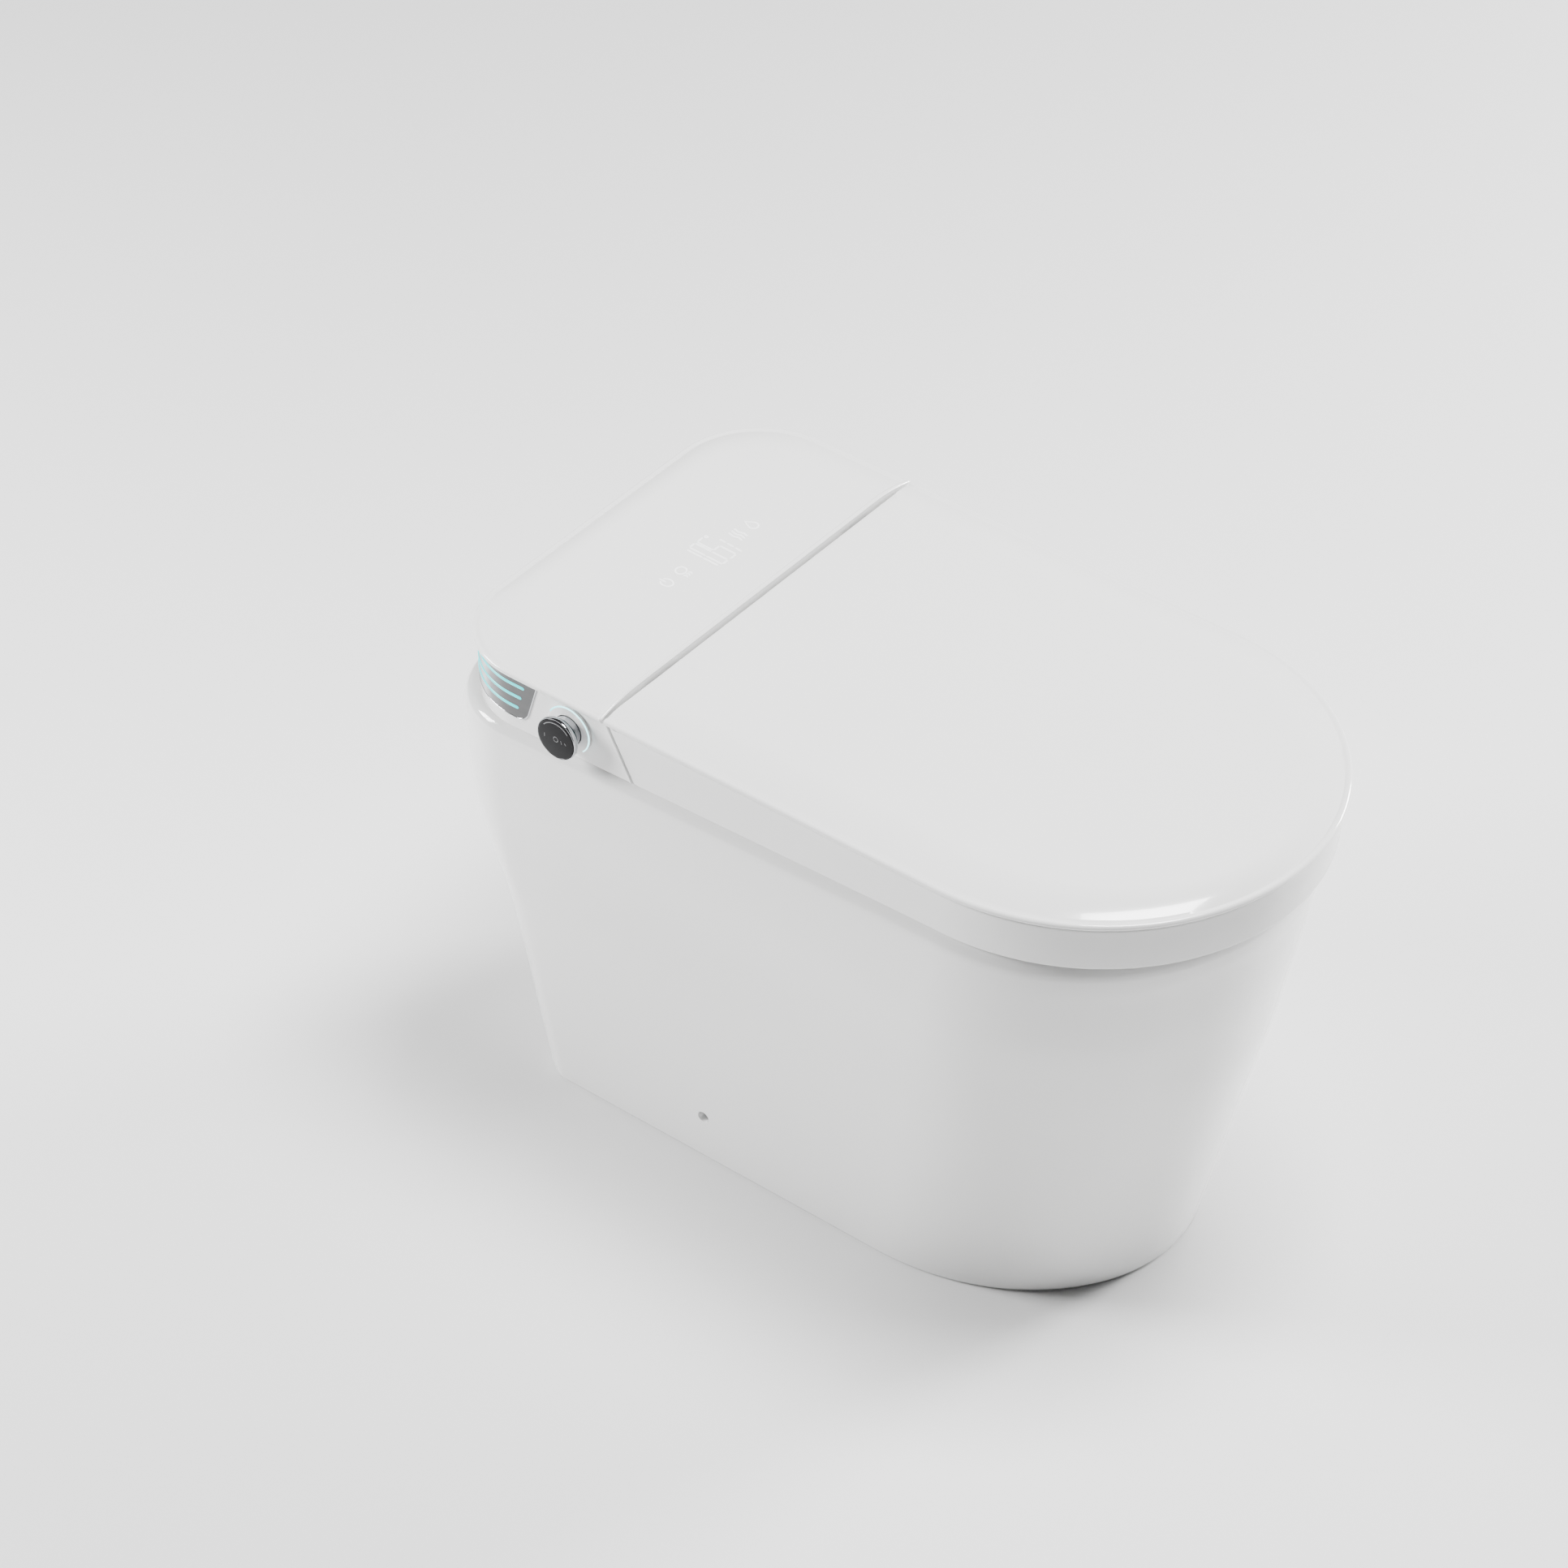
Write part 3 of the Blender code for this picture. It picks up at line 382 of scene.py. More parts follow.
def make_looks():
    return {
        "glazed_ceramic": material("glaze", WHITE, 0.09, 0.02, 0.012, 5, 60, 0.03, 0.0004, coat=0.6),
        "gloss_white": material("gloss_plastic", WHITE, 0.16, 0.03, 0.008, 6, 700, 0.02, coat=0.5),
        "matte_white": material("satin_plastic", (0.80, 0.80, 0.79), 0.42, 0.06, 0.02, 18, 1500, 0.10),
        "rubber_grey": material("rubber", (0.16, 0.16, 0.165), 0.75, 0.08, 0.08, 30, 1800, 0.25),
        "dark_plastic": material("dark_plastic", (0.055, 0.057, 0.062), 0.5, 0.08, 0.10, 25, 1600, 0.2),
        "steel": material("steel", (0.58, 0.58, 0.59), 0.28, 0.08, 0.05, 40, 1200, 0.08, metallic=1.0),
        "chrome": material("chrome", (0.50, 0.51, 0.53), 0.10, 0.03, 0.03, 25, 900, 0.01, metallic=1.0),
        "heater_foil": material("foil", (0.70, 0.55, 0.38), 0.35, 0.1, 0.08, 60, 500, 0.3, metallic=1.0),
        "black_glass": material("black_glass", (0.006, 0.006, 0.007), 0.06, 0.02, 0.2, 40, 600, 0.01,
                                specular=0.12),
        "black_plastic": material("black_plastic", (0.02, 0.02, 0.022), 0.4, 0.08, 0.15, 30, 1600, 0.2),
        "window_grey": window_look(),
        "light_guide": glowing("light_guide", (0.0, 0.72, 0.76), (0.0, 0.80, 0.86), 2.6, 1,
                               0.24, 0.30, 0.02),
        "ring_glow": glowing("ring_glow", (0.55, 0.97, 1.0), (0.10, 0.70, 0.80), 3.2, 1,
                             KNOB_Y - 0.004, KNOB_Y + 0.018),
        "circuit_board": material("board", (0.03, 0.14, 0.07), 0.4, 0.1, 0.25, 160, 900, 0.2),
        "marks": glowing("marks", (0.92, 0.96, 1.0), (1.0, 1.0, 1.0), 0.9, 0, -0.05, 0.07),
        "print": material("pad_print", (0.20, 0.205, 0.21), 0.4, 0.05, 0.05, 200, 900, 0.05),
    }


def window_look():
    """Smoked metallic panel with a painted reflection: dark at its front edge, a bright band of painted
    reflection across its run, and soft bright streaks along it.
    """
    made = material("smoked_panel_painted_reflection", (0.20, 0.21, 0.225), 0.30, 0.05, 0.06, 20, 900, 0.02, coat=0.3)
    nodes, links = made.node_tree.nodes, made.node_tree.links
    shader = nodes["Principled BSDF"]
    split = nodes.new("ShaderNodeSeparateXYZ")
    place = nodes.new("ShaderNodeTexCoord")
    run = nodes.new("ShaderNodeMapRange")
    run.inputs["From Min"].default_value = WINDOW_FRONT
    run.inputs["From Max"].default_value = WINDOW_FRONT + 0.100
    ramp = nodes.new("ShaderNodeValToRGB")
    ramp.color_ramp.elements[0].color = (0.045, 0.047, 0.050, 1)
    ramp.color_ramp.elements[1].color = (0.060, 0.062, 0.066, 1)
    # Painted reflection: these stops paint a bright band across the panel's run, on the wall's rounded
    # corner, between the dark front edge and the dark far end.
    for at, grey in ((0.35, 0.050), (0.50, 0.16), (0.60, 0.52), (0.70, 0.28), (0.84, 0.12)):
        stop = ramp.color_ramp.elements.new(at)
        stop.color = (grey, grey * 1.01, grey * 1.03, 1)
    streaks = nodes.new("ShaderNodeTexNoise")
    streaks.inputs["Scale"].default_value = 9.0
    stretch = nodes.new("ShaderNodeMapping")
    stretch.inputs["Scale"].default_value = (1.0, 1.0, 9.0)
    mix = nodes.new("ShaderNodeMix")
    mix.data_type = "RGBA"
    mix.blend_type = "OVERLAY"
    mix.inputs["Factor"].default_value = 0.5
    links.new(place.outputs["Object"], split.inputs["Vector"])
    links.new(split.outputs["Y"], run.inputs["Value"])
    links.new(run.outputs["Result"], ramp.inputs["Fac"])
    links.new(place.outputs["Object"], stretch.inputs["Vector"])
    links.new(stretch.outputs["Vector"], streaks.inputs["Vector"])
    links.new(ramp.outputs["Color"], mix.inputs["A"])
    links.new(streaks.outputs["Fac"], mix.inputs["B"])
    links.new(mix.outputs["Result"], shader.inputs["Base Color"])
    return made


# ---------------------------------------------------------------- pan

PAN_LEVELS = (  # height, half width, rear, corner radius, front centre, front tip
    (0.000, 0.1535, 0.278, 0.030, -0.072, -0.2555),
    (0.075, 0.1585, 0.293, 0.034, -0.086, -0.2720),
    (0.145, 0.1645, 0.306, 0.040, -0.099, -0.2870),
    (0.195, 0.1703, 0.317, 0.046, -0.108, -0.2985),
    (0.235, 0.1770, 0.330, 0.054, -0.116, -0.3065),
    (0.275, 0.1845, 0.341, 0.064, -0.123, -0.3130),
    (0.310, 0.1900, 0.347, 0.072, -0.130, -0.3190),
    (0.375, 0.1940, 0.348, 0.075, -0.142, -0.3290),
    (0.390, 0.1945, 0.348, 0.075, -0.145, -0.3330),
)
RIM_GAP = 0.0015
SHOULDER_IN = 0.009
SHOULDER_DOWN = 0.014
BOWL = (-0.112, 0.140, 0.192)
TRAPWAY = ((-0.030, 0.100), (0.010, 0.092), (0.050, 0.098), (0.082, 0.125), (0.106, 0.160), (0.135, 0.182),
           (0.165, 0.178), (0.186, 0.150), (0.193, 0.110), (0.194, 0.060), (0.194, 0.030))


def skirt_outline(height, wall=0.0):
    half, rear, corner, centre, tip = eased(PAN_LEVELS, height)
    return planform(half - wall, rear - wall, max(corner - wall, 0.012), centre, centre - tip - wall)


def skirt_rings():
    rings = [level(skirt_outline(0.0, 0.0020), 0.0), level(skirt_outline(0.0, 0.0008), 0.0006),
             level(skirt_outline(0.0, 0.0001), 0.0020)]
    count = 36
    rings += [level(skirt_outline(z), z) for z in (0.004 + 0.367 * i / count for i in range(count + 1))]
    half, rear, corner, centre, tip = PAN_LEVELS[-1][1:]

    def rim(amount, drop, towards=0.0):
        outline = planform(half - amount, rear - amount, corner - amount, centre, centre - tip - amount)
        return level([blended(p, *BOWL, towards) for p in outline], above(parting, -RIM_GAP - drop))
    for i in range(9):
        a = pi / 2 * i / 8
        rings.append(rim(SHOULDER_IN * (1 - cos(a)), SHOULDER_DOWN * (1 - sin(a))))
    rings += [rim(SHOULDER_IN, 0.0, t) for t in (0.5, 0.98)]
    return rings


def tube(path, radius, name, sides=40):
    """A round tube body along a path in the plane x = 0."""
    rings = []
    for i, (y, z) in enumerate(path):
        y0, z0 = path[max(i - 1, 0)]
        y1, z1 = path[min(i + 1, len(path) - 1)]
        rings.append(circle((0, y, z), (0, y1 - y0, z1 - z0), radius, sides))
    return loft(rings, name)


def bowl_body(wall):
    rows = ((0.100, -0.030, 0.030, 0.036), (0.130, -0.055, 0.048, 0.062), (0.185, -0.085, 0.078, 0.100),
            (0.250, -0.103, 0.108, 0.140), (0.320, -0.110, 0.128, 0.172), (0.375, -0.112, 0.139, 0.190),
            (0.392, -0.112, 0.140, 0.192))
    heights = [0.100 + 0.285 * i / 30 for i in range(31)]
    rings = []
    for z in heights:
        y, a, b = eased(rows, z)
        rings.append(ellipse(y, a + wall, b + wall, z))
    if wall:
        rings.insert(0, ellipse(-0.030, 0.022, 0.028, 0.100 - wall))
        return loft(rings, "bowl_outer")
    rings.insert(0, ellipse(-0.030, 0.012, 0.016, 0.084))
    for z, more in ((0.392, 0.0003), (0.397, 0.0012), (0.4005, 0.0030), (0.4035, 0.0062), (0.4060, 0.0120),
                    (0.43, 0.06)):
        rings.append(ellipse(BOWL[0], BOWL[1] + more, BOWL[2] + more, z))
    return loft(rings, "bowl_inner")


def build_pan(look):
    pan = loft(skirt_rings(), "pan_glaze")
    hollow = [level(skirt_outline(0.0, 0.011), -0.01)]
    hollow += [level(skirt_outline(z, 0.011), z) for z in (0.03 * i for i in range(1, 10))]
    hollow.append(level(skirt_outline(0.30, 0.016), 0.305))
    carve(pan, *minus(loft(hollow, "pan_hollow")),
          *plus(bowl_body(0.012), tube(TRAPWAY[1:], 0.041, "trap_outer"),
                box((-0.149, -0.020, 0.0), (0.149, 0.020, 0.030), "foot_web")),
          *minus(bowl_body(0.0), tube(TRAPWAY[:-1] + ((0.194, 0.010),), 0.029, "trap_inner"),
                 box((-0.153, 0.118, 0.338), (0.153, 0.322, 0.45), "well"),
                 box((-0.070, 0.055, 0.352), (0.040, 0.130, 0.45), "nozzle_notch"),
                 rod((0.105, 0.285, 0.28), (0.105, 0.285, 0.36), 0.020, "service_hole"),
                 *(fixing_hole(side) for side in (-1, 1))))
    return dress(pan, "pan", "glazed_ceramic", look, "ceramic_pan")


def fixing_hole(side):
    """A screw hole through the skirt with a softly glazed edge, cut inwards from beside the pan."""
    start = 0.20
    face = start - 0.1567
    profile = [(0, 0.0066), (face, 0.0057), (face + 0.0005, 0.0053), (face + 0.0012, 0.0051),
               (face + 0.0022, 0.0050), (0.10, 0.0050)]
    return turned((side * start, FIXING_Y, FIXING_Z), (-side, 0, 0), profile, f"fixing_{side}", 48)


# ---------------------------------------------------------------- lid and cover

def crown_rings(drop=0.0):
    """Rounded lip, then a border that eases up to the flat panel. drop makes the underside's body."""
    if drop:
        lips = ((0.0040, LIP_LOW - 0.01), (0.0040, LIP_TOP - 0.0022))
    else:
        lips = [(ROLL_R + 0.0002, LIP_LOW)]
        lips += [(ROLL_R * (1 - cos(a)), ROLL_Z + ROLL_R * sin(a)) for a in (radians(-75 + 15 * i)
                                                                               for i in range(12))]
        lips += [(ROLL_R + 0.0016, LIP_TOP + 0.0001), (ROLL_R + 0.0028, LIP_TOP - 0.0002)]
    rings = [level(inset(a), z) for a, z in lips]
    start = inset(lips[-1][0])
    foot = LIP_TOP - 0.0002
    end = planform(*PANEL)
    steps = 14
    for i in range(1, steps + 1):
        t = i / steps
        z = foot + (CROWN - foot) * (1 - (1 - t) ** 1.8) - (0.0032 if drop else 0.0)
        rings.append([(a + (c - a) * t, b + (d - b) * t, z) for (a, b), (c, d) in zip(start, end)])
    return rings


def lug_zones(name, y0, y1, z0, z1, x0, x1):
    return [box((min(s * x0, s * x1), y0, z0), (max(s * x0, s * x1), y1, z1), f"{name}_{n}")
            for s, n in ((-1, "left"), (1, "right"))]


def build_lid(look):
    lid = loft(crown_rings(), "lid_smooth")
    turns = [radians(90 - 3 * i) for i in range(49)]
    outline = [(HINGE_Y, 0.60)] + [(HINGE_Y + BARREL_R * cos(a), HINGE_Z + BARREL_R * sin(a)) for a in turns]
    outline += [(HINGE_Y + 0.004, 0.40), (0.60, 0.40), (0.60, 0.60)]
    rear = loft([[(x, y, z) for y, z in outline] for x in (-0.3, 0.3)], "lid_rear")
    under = carve(loft(crown_rings(1), "lid_under"),
                  *minus(box((-0.3, HINGE_Y - 0.007, 0.40), (0.3, 0.5, 0.50), "lid_under_rear")))
    carve(lid, *minus(rear, under),
          *plus(rod((-0.105, HINGE_Y, HINGE_Z), (0.105, HINGE_Y, HINGE_Z), BARREL_R - 0.00015, "barrel")))
    tools = []
    for side in (-1, 1):
        tools.append(rod((side * 0.1048, HINGE_Y, HINGE_Z), (side * 0.1395, HINGE_Y, HINGE_Z), 0.0053,
                         f"lug_room_{side}"))
        tools.append(rod((side * 0.045, HINGE_Y, HINGE_Z), (side * 0.125, HINGE_Y, HINGE_Z), 0.0057,
                         f"damper_bore_{side}"))
    tools += lug_zones("lug_way", HINGE_Y - 0.0075, HINGE_Y + 0.012, 0.43, 0.4500, 0.1054, 0.1395)
    tools += lug_zones("lug_sweep", HINGE_Y, HINGE_Y + 0.012, 0.43, 0.4516, 0.1054, 0.1395)
    carve(lid, *minus(*tools))
    return dress(lid, "lid", "gloss_white", look, "lid_shell")


def build_cover(look):
    cover = loft(crown_rings(), "cover_smooth")
    under = carve(loft(crown_rings(1), "cover_under"),
                  *minus(box((-0.3, -0.5, 0.40), (0.3, SEAM_TOP_Y + 0.003, 0.50), "cover_under_front")))
    carve(cover, *minus(box((-0.3, -0.5, 0.40), (0.3, SEAM_TOP_Y, 0.50), "cover_front"), under))
    return dress(cover, "pan", "gloss_white", look, "top_cover")


def crown_height(x):
    """Height of the crown over the sides' straight part, by the distance from the centre line."""
    edge, flat = LID_HALF_WIDTH - 0.0016, PANEL[0]
    t = min(max((edge - abs(x)) / (edge - flat), 0.0), 1.0)
    return LIP_TOP + (CROWN - LIP_TOP) * (1 - (1 - t) ** 1.8)


def build_bead(look):
    """The bright rolled edge on the cover's front, which turns down both sides along the seam."""
    y = SEAM_TOP_Y + 0.0014
    half = LID_HALF_WIDTH - 0.0010
    across, ups = [], []
    for i in range(81):
        x = -half + 2 * half * i / 80
        across.append(Vector((x, y, crown_height(x) - 0.0006)))
        slope = (crown_height(x + 0.001) - crown_height(x - 0.001)) / 0.002
        ups.append(Vector((-slope, 0, 1)).normalized())
    top = sweep(across, ups, 0.0019, 0.0014, "cover_bead", 20)
    dress(top, "pan", "gloss_white", look)
    for side, name in ((-1, "left"), (1, "right")):
        wall = side * (LID_HALF_WIDTH - BAND_INSET - 0.0004)
        path = []
        for i in range(12):
            z = LIP_LOW - 0.0012 - i * (LIP_LOW - 0.0012 - 0.3990) / 11
            path.append(Vector((wall, seam_y(z) + 0.0016, z)))
        strip = sweep(path, [Vector((side, 0, 0))] * len(path), 0.0016, 0.0010, "seam_bead_" + name, 20)
        dress(strip, "pan", "gloss_white", look)


# ---------------------------------------------------------------- seat

HOLE = (-0.100, 0.105, 0.145)


def seat_ring(amount, towards, z):
    return level([blended(p, *HOLE, towards) for p in inset(BAND_INSET + amount)], z)


def build_seat(look):
    rows = [(0.0016, 0, parting), (0.0007, 0, above(parting, 0.0003)), (0.0001, 0, above(parting, 0.0009)),
            (0.0, 0, above(parting, 0.0016)), (0.0, 0, 0.4400), (0.0, 0, 0.4415), (0.0004, 0, 0.4427),
            (0.0014, 0, 0.4436), (0.0040, 0, 0.4440), (0.0050, 0.20, 0.4440), (0.0050, 0.45, 0.4430),
            (0.0050, 0.62, 0.4412), (0.0050, 0.80, 0.4383), (0.0050, 0.90, 0.4358), (0.0050, 0.96, 0.4332),
            (0.0050, 0.99, 0.4300), (0.0050, 1.0, 0.4260), (0.0050, 1.0, 0.4095), (0.0050, 0.995, 0.4085)]
    seat = loft([seat_ring(*row) for row in rows], "seat_smooth", loop=True)
    inner = ((0.0032, 0, 0.38), (0.0032, 0, 0.4400), (0.0060, 0.45, 0.4392), (0.0060, 0.80, 0.4347),
             (0.0060, 0.955, 0.4290), (0.0060, 0.965, 0.38))
    hollow = carve(loft([seat_ring(*row) for row in inner], "seat_hollow", loop=True),
                   *minus(seam_prism(-0.0055, False, "seat_hollow_rear")))
    carve(seat, *minus(seam_prism(-0.0020, False, "seat_rear"), hollow,
                       box((-0.0361, 0.0903, 0.38), (0.0361, 0.2003, 0.4131), "seat_nozzle_way"),
                       *lug_zones("leg_way", 0.1430, 0.20, 0.38, 0.46, 0.1225, 0.1395),
                       rod((-0.2, HINGE_Y, HINGE_Z), (0.2, HINGE_Y, HINGE_Z), 0.0087, "barrel_room")))
    lugs, bores = [], []
    for side in (-1, 1):
        x0, x1 = sorted((side * 0.1075, side * 0.1215))
        outline = [(HINGE_Y - 0.0012, HINGE_Z - 0.0030), (HINGE_Y - 0.0030, 0.4410), (0.1500, 0.4330),
                   (0.1420, 0.4330), (0.1430, 0.4430), (HINGE_Y - 0.0044, HINGE_Z)]
        leg = loft([[(x, y, z) for y, z in outline] for x in (x0, x1)], f"seat_leg_{side}")
        lugs.append(carve(leg, *plus(rod((x0, HINGE_Y, HINGE_Z), (x1, HINGE_Y, HINGE_Z), LUG_R, "lug"))))
        bores.append(rod((x0 - 0.002, HINGE_Y, HINGE_Z), (x1 + 0.002, HINGE_Y, HINGE_Z), BORE_R, "bore"))
    carve(seat, *plus(*lugs), *minus(*bores))
    return dress(seat, "seat", "gloss_white", look, "seat_top")


# ---------------------------------------------------------------- housing

def build_housing(look):
    rows = ((0.0016, rear_parting), (0.0007, above(rear_parting, 0.0003)),
            (0.0001, above(rear_parting, 0.0009)), (0.0, above(rear_parting, 0.0016)),
            (0.0, LIP_LOW - 0.0012), (0.0005, LIP_LOW - GAP))
    housing = loft([level(inset(BAND_INSET + a), z) for a, z in rows], "housing_smooth")
    inner = inset(BAND_INSET + 0.003)
    inside = carve(loft([level(inner, 0.36), level(inner, 0.47)], "housing_inside"),
                   *minus(seam_prism(0.003, True, "housing_inside_front")))
    window = window_body(0.0016, -0.003, GAP, "window_recess")
    carve(housing, *minus(seam_prism(0.0, True, "housing_front"), inside,
                          box((-0.034, 0.10, 0.36), (0.034, 0.20, 0.4185), "housing_nozzle_way"),
                          rod((-0.100, 0.32, 0.403), (-0.100, 0.35, 0.403), 0.0088, "power_hole"),
                          box((0.18, 0.2045, 0.4065), (0.20, 0.2455, 0.4325), "filter_slot"),
                          rod((-0.20, KNOB_Y, KNOB_Z), (-0.17, KNOB_Y, KNOB_Z), 0.0165, "knob_hole"),
                          window),
          *plus(box((0.1185, 0.2045, 0.4030), (0.1880, 0.2455, 0.4061), "filter_shelf"),
                hinge_bracket(-1), hinge_bracket(1)))
    return dress(housing, "pan", "gloss_white", look, "rear_housing")


def hinge_bracket(side):
    x0, x1 = sorted((side * 0.124, side * 0.138))
    outline = [(HINGE_Y - 0.0012, HINGE_Z - 0.0030), (HINGE_Y - 0.0030, 0.4330), (HINGE_Y + 0.003, 0.4290),
               (HINGE_Y + 0.003, 0.4190), (0.1470, 0.4190), (0.1455, 0.4330), (HINGE_Y - 0.0044, HINGE_Z)]
    leg = loft([[(x, y, z) for y, z in outline] for x in (x0, x1)], f"housing_leg_{side}")
    lug = rod((x0, HINGE_Y, HINGE_Z), (x1, HINGE_Y, HINGE_Z), LUG_R, "housing_lug")
    bore = rod((x0 - 0.01, HINGE_Y, HINGE_Z), (x1 + 0.01, HINGE_Y, HINGE_Z), BORE_R, "housing_bore")
    return carve(leg, *plus(lug), *minus(bore))


CORNER_R = LID_CORNER - BAND_INSET
CORNER_AT = (-(LID_HALF_WIDTH - BAND_INSET) + CORNER_R, LID_REAR - BAND_INSET - CORNER_R)


def wall_point(run, out):
    """A point on the housing's left wall: run is metres along it past y = 0, out is proud of it."""
    if run <= CORNER_AT[1]:
        return Vector((WALL_X - out, run)), Vector((-1, 0))
    a = (run - CORNER_AT[1]) / CORNER_R
    away = Vector((-cos(a), sin(a)))
    return Vector(CORNER_AT) + away * (CORNER_R + out), away


def wrap_run(degrees):
    """The run at which the wall has turned by an angle."""
    return CORNER_AT[1] + CORNER_R * radians(degrees)


def window_edge(z, radius=0.0085):
    """Run of the window's leaning front edge at a height, with a rounded lower corner."""
    start = WINDOW_FRONT + WINDOW_LEAN * (WINDOW_TOP - z)
    short = max(0.0, WINDOW_LOW + radius - z)
    return start + radius - sqrt(max(radius * radius - short * short, 0.0))


def window_body(deep, out, grow, name):
    heights = [WINDOW_LOW + (WINDOW_TOP - WINDOW_LOW) * i / WINDOW_ROWS for i in range(WINDOW_ROWS + 1)]
    rings = []
    for z in heights:
        start, end = window_edge(z) - grow, wrap_run(WINDOW_WRAP) + grow
        runs = [start + (end - start) * (i / WINDOW_COLUMNS) for i in range(WINDOW_COLUMNS + 1)]
        outer = [wall_point(r, -out)[0] for r in runs]
        inner = [wall_point(r, -deep)[0] for r in runs]
        height = z + (grow if z == heights[-1] else -grow if z == heights[0] else 0.0)
        rings.append([(p.x, p.y, height) for p in outer + inner[::-1]])
    return loft(rings, name)


def build_window(looks):
    window = window_body(0.0012, -0.0006, 0.0, "window_panel")
    dress(window, "pan", "window_grey", looks["window_grey"], "light_window")
    for n, z in enumerate(BAR_LEVELS, 1):
        start = WINDOW_FRONT + WINDOW_LEAN * (WINDOW_TOP - z) + BAR_MARGIN
        end = wrap_run(BAR_WRAP)
        path, ups = [], []
        for i in range(49):
            point, away = wall_point(start + (end - start) * i / 48, 0.0005)
            path.append(Vector((point.x, point.y, z)))
            ups.append(Vector((away.x, away.y, 0)))
        bar = sweep(path, ups, BAR_HALF_WIDTH, 0.0008, f"glow_bar_{n}")
        dress(bar, "pan", "light_guide", looks["light_guide"], f"light_bar_{n}")
    build_window_rim(looks["chrome"])


def build_window_rim(look):
    """A thin chrome line down the window's front edge and along its lower edge."""
    places = []
    for i in range(WINDOW_ROWS + 1):
        z = WINDOW_TOP - (WINDOW_TOP - WINDOW_LOW) * i / WINDOW_ROWS
        places.append((window_edge(z), z))
    start, end = window_edge(WINDOW_LOW), wrap_run(WINDOW_WRAP)
    for i in range(1, WINDOW_COLUMNS + 1):
        places.append((start + (end - start) * i / WINDOW_COLUMNS, WINDOW_LOW))
    path, ups = [], []
    for run, z in places:
        point, away = wall_point(run, 0.0004)
        path.append(Vector((point.x, point.y, z)))
        ups.append(Vector((away.x, away.y, 0)))
    rim = sweep(path, ups, 0.0006, 0.0005, "window_rim")
    dress(rim, "pan", "chrome", look)


# ---------------------------------------------------------------- knob

def dial_point(radius, degrees, x):
    """A point on the knob's face: 0 degrees is +Y and 90 is up."""
    a = radians(degrees)
    return Vector((x, KNOB_Y + radius * cos(a), KNOB_Z + radius * sin(a)))


def dial_arc(radius, start, end, x, steps=48):
    return [dial_point(radius, start + (end - start) * i / steps, x) for i in range(steps + 1)]


def build_knob(looks):
    out = (-1, 0, 0)
    centre = (WALL_X, KNOB_Y, KNOB_Z)
    boss = turned(centre, out, [(-0.003, 0.0130), (-0.003, 0.0160), (0.0004, 0.0160), (0.0004, 0.0206),
                                (0.0008, 0.0208), (0.0022, 0.0208), (0.0027, 0.0206), (0.0030, 0.0200),
                                (0.0031, 0.0190), (0.0031, 0.0140), (0.0029, 0.0131)], "knob_boss", 96, True)
    dress(boss, "pan", "gloss_white", looks["gloss_white"], "knob_bezel")
    arc = dial_arc(RING_R - 0.0006, 30, 225, WALL_X - 0.0026, 72)
    arc_ups = [Vector((-0.75, *((p - Vector(centre)).normalized() * 0.66).yz)).normalized() for p in arc]
    glow = sweep(arc, arc_ups, 0.0006, 0.0006, "knob_glow")
    dress(glow, "pan", "light_guide", looks["ring_glow"], "knob_light_ring")
    profile = [(0, SHAFT_ROOM_R), (0, 0.0122), (0.0005, 0.0124), (0.0045, 0.0126), (0.0070, 0.0131),
               (0.0090, 0.0138), (0.0110, 0.0149), (0.0126, 0.0162), (0.0138, 0.0176), (0.0146, 0.0184),
               (0.0152, 0.0187), (0.0178, 0.0187), (0.0183, 0.0186), (0.0186, 0.0184), (0.0186, 0.0181),
               (0.0182, 0.0179), (0.0170, DIAL_GLASS_R), (0.0170, SHAFT_ROOM_R)]
    cap = turned((-0.1890, KNOB_Y, KNOB_Z), out, profile, "knob_barrel", 128, True)
    dress(cap, "knob_dial", "chrome", looks["chrome"], "knob_cap")
    glass = turned((-0.2061, KNOB_Y, KNOB_Z), out,
                   [(0, DIAL_GLASS_R), (0.0011, DIAL_GLASS_R), (0.0015, 0.0176), (0.0017, 0.0172),
                    (0.0018, 0.0165), (0.0018, 0.0002)], "knob_face", 96)
    dress(glass, "knob_dial", "black_glass", looks["black_glass"], "knob_glass")
    face = WALL_X - 0.0179
    marks = [dial_arc(0.0150, 40, 140, face), dial_arc(0.0022, 0, 340, face, 28),
             [dial_point(0.0062, 200, face), dial_point(0.0050, 172, face)],
             [dial_point(0.0100, 188, face), dial_point(0.0088, 178, face)],
             dial_arc(0.0112, -10, 6, face, 20)]
    for n, path in enumerate(marks, 1):
        width = 0.00036 if n == 1 else 0.00022
        mark = sweep(path, [Vector(out)] * len(path), width, 0.00008, f"dial_mark_{n}", 8)
        dress(mark, "knob_dial", "black_glass", looks["print"])


# ---------------------------------------------------------------- display marks

STROKE = 0.00058
SEGMENTS = {"1": "bc", "0": "abcdef", "5": "afgcd"}


def digit_strokes(digit, left, right, low, top):
    """Seven-segment strokes that lean a little."""
    middle = (low + top) / 2
    lean = 0.03

    def at(x, y):
        return (x + (y - low) * lean, y)
    corners = {"a": (at(left, top), at(right, top)), "b": (at(right, top), at(right, middle)),
               "c": (at(right, middle), at(right, low)), "d": (at(left, low), at(right, low)),
               "e": (at(left, low), at(left, middle)), "f": (at(left, middle), at(left, top)),
               "g": (at(left, middle), at(right, middle))}
    return [shortened(*corners[name]) for name in SEGMENTS[digit]]


def shortened(start, end, gap=1.3):
    along = Vector((end[0] - start[0], end[1] - start[1]))
    step = along.normalized() * gap
    return [(start[0] + step.x, start[1] + step.y), (end[0] - step.x, end[1] - step.y)]


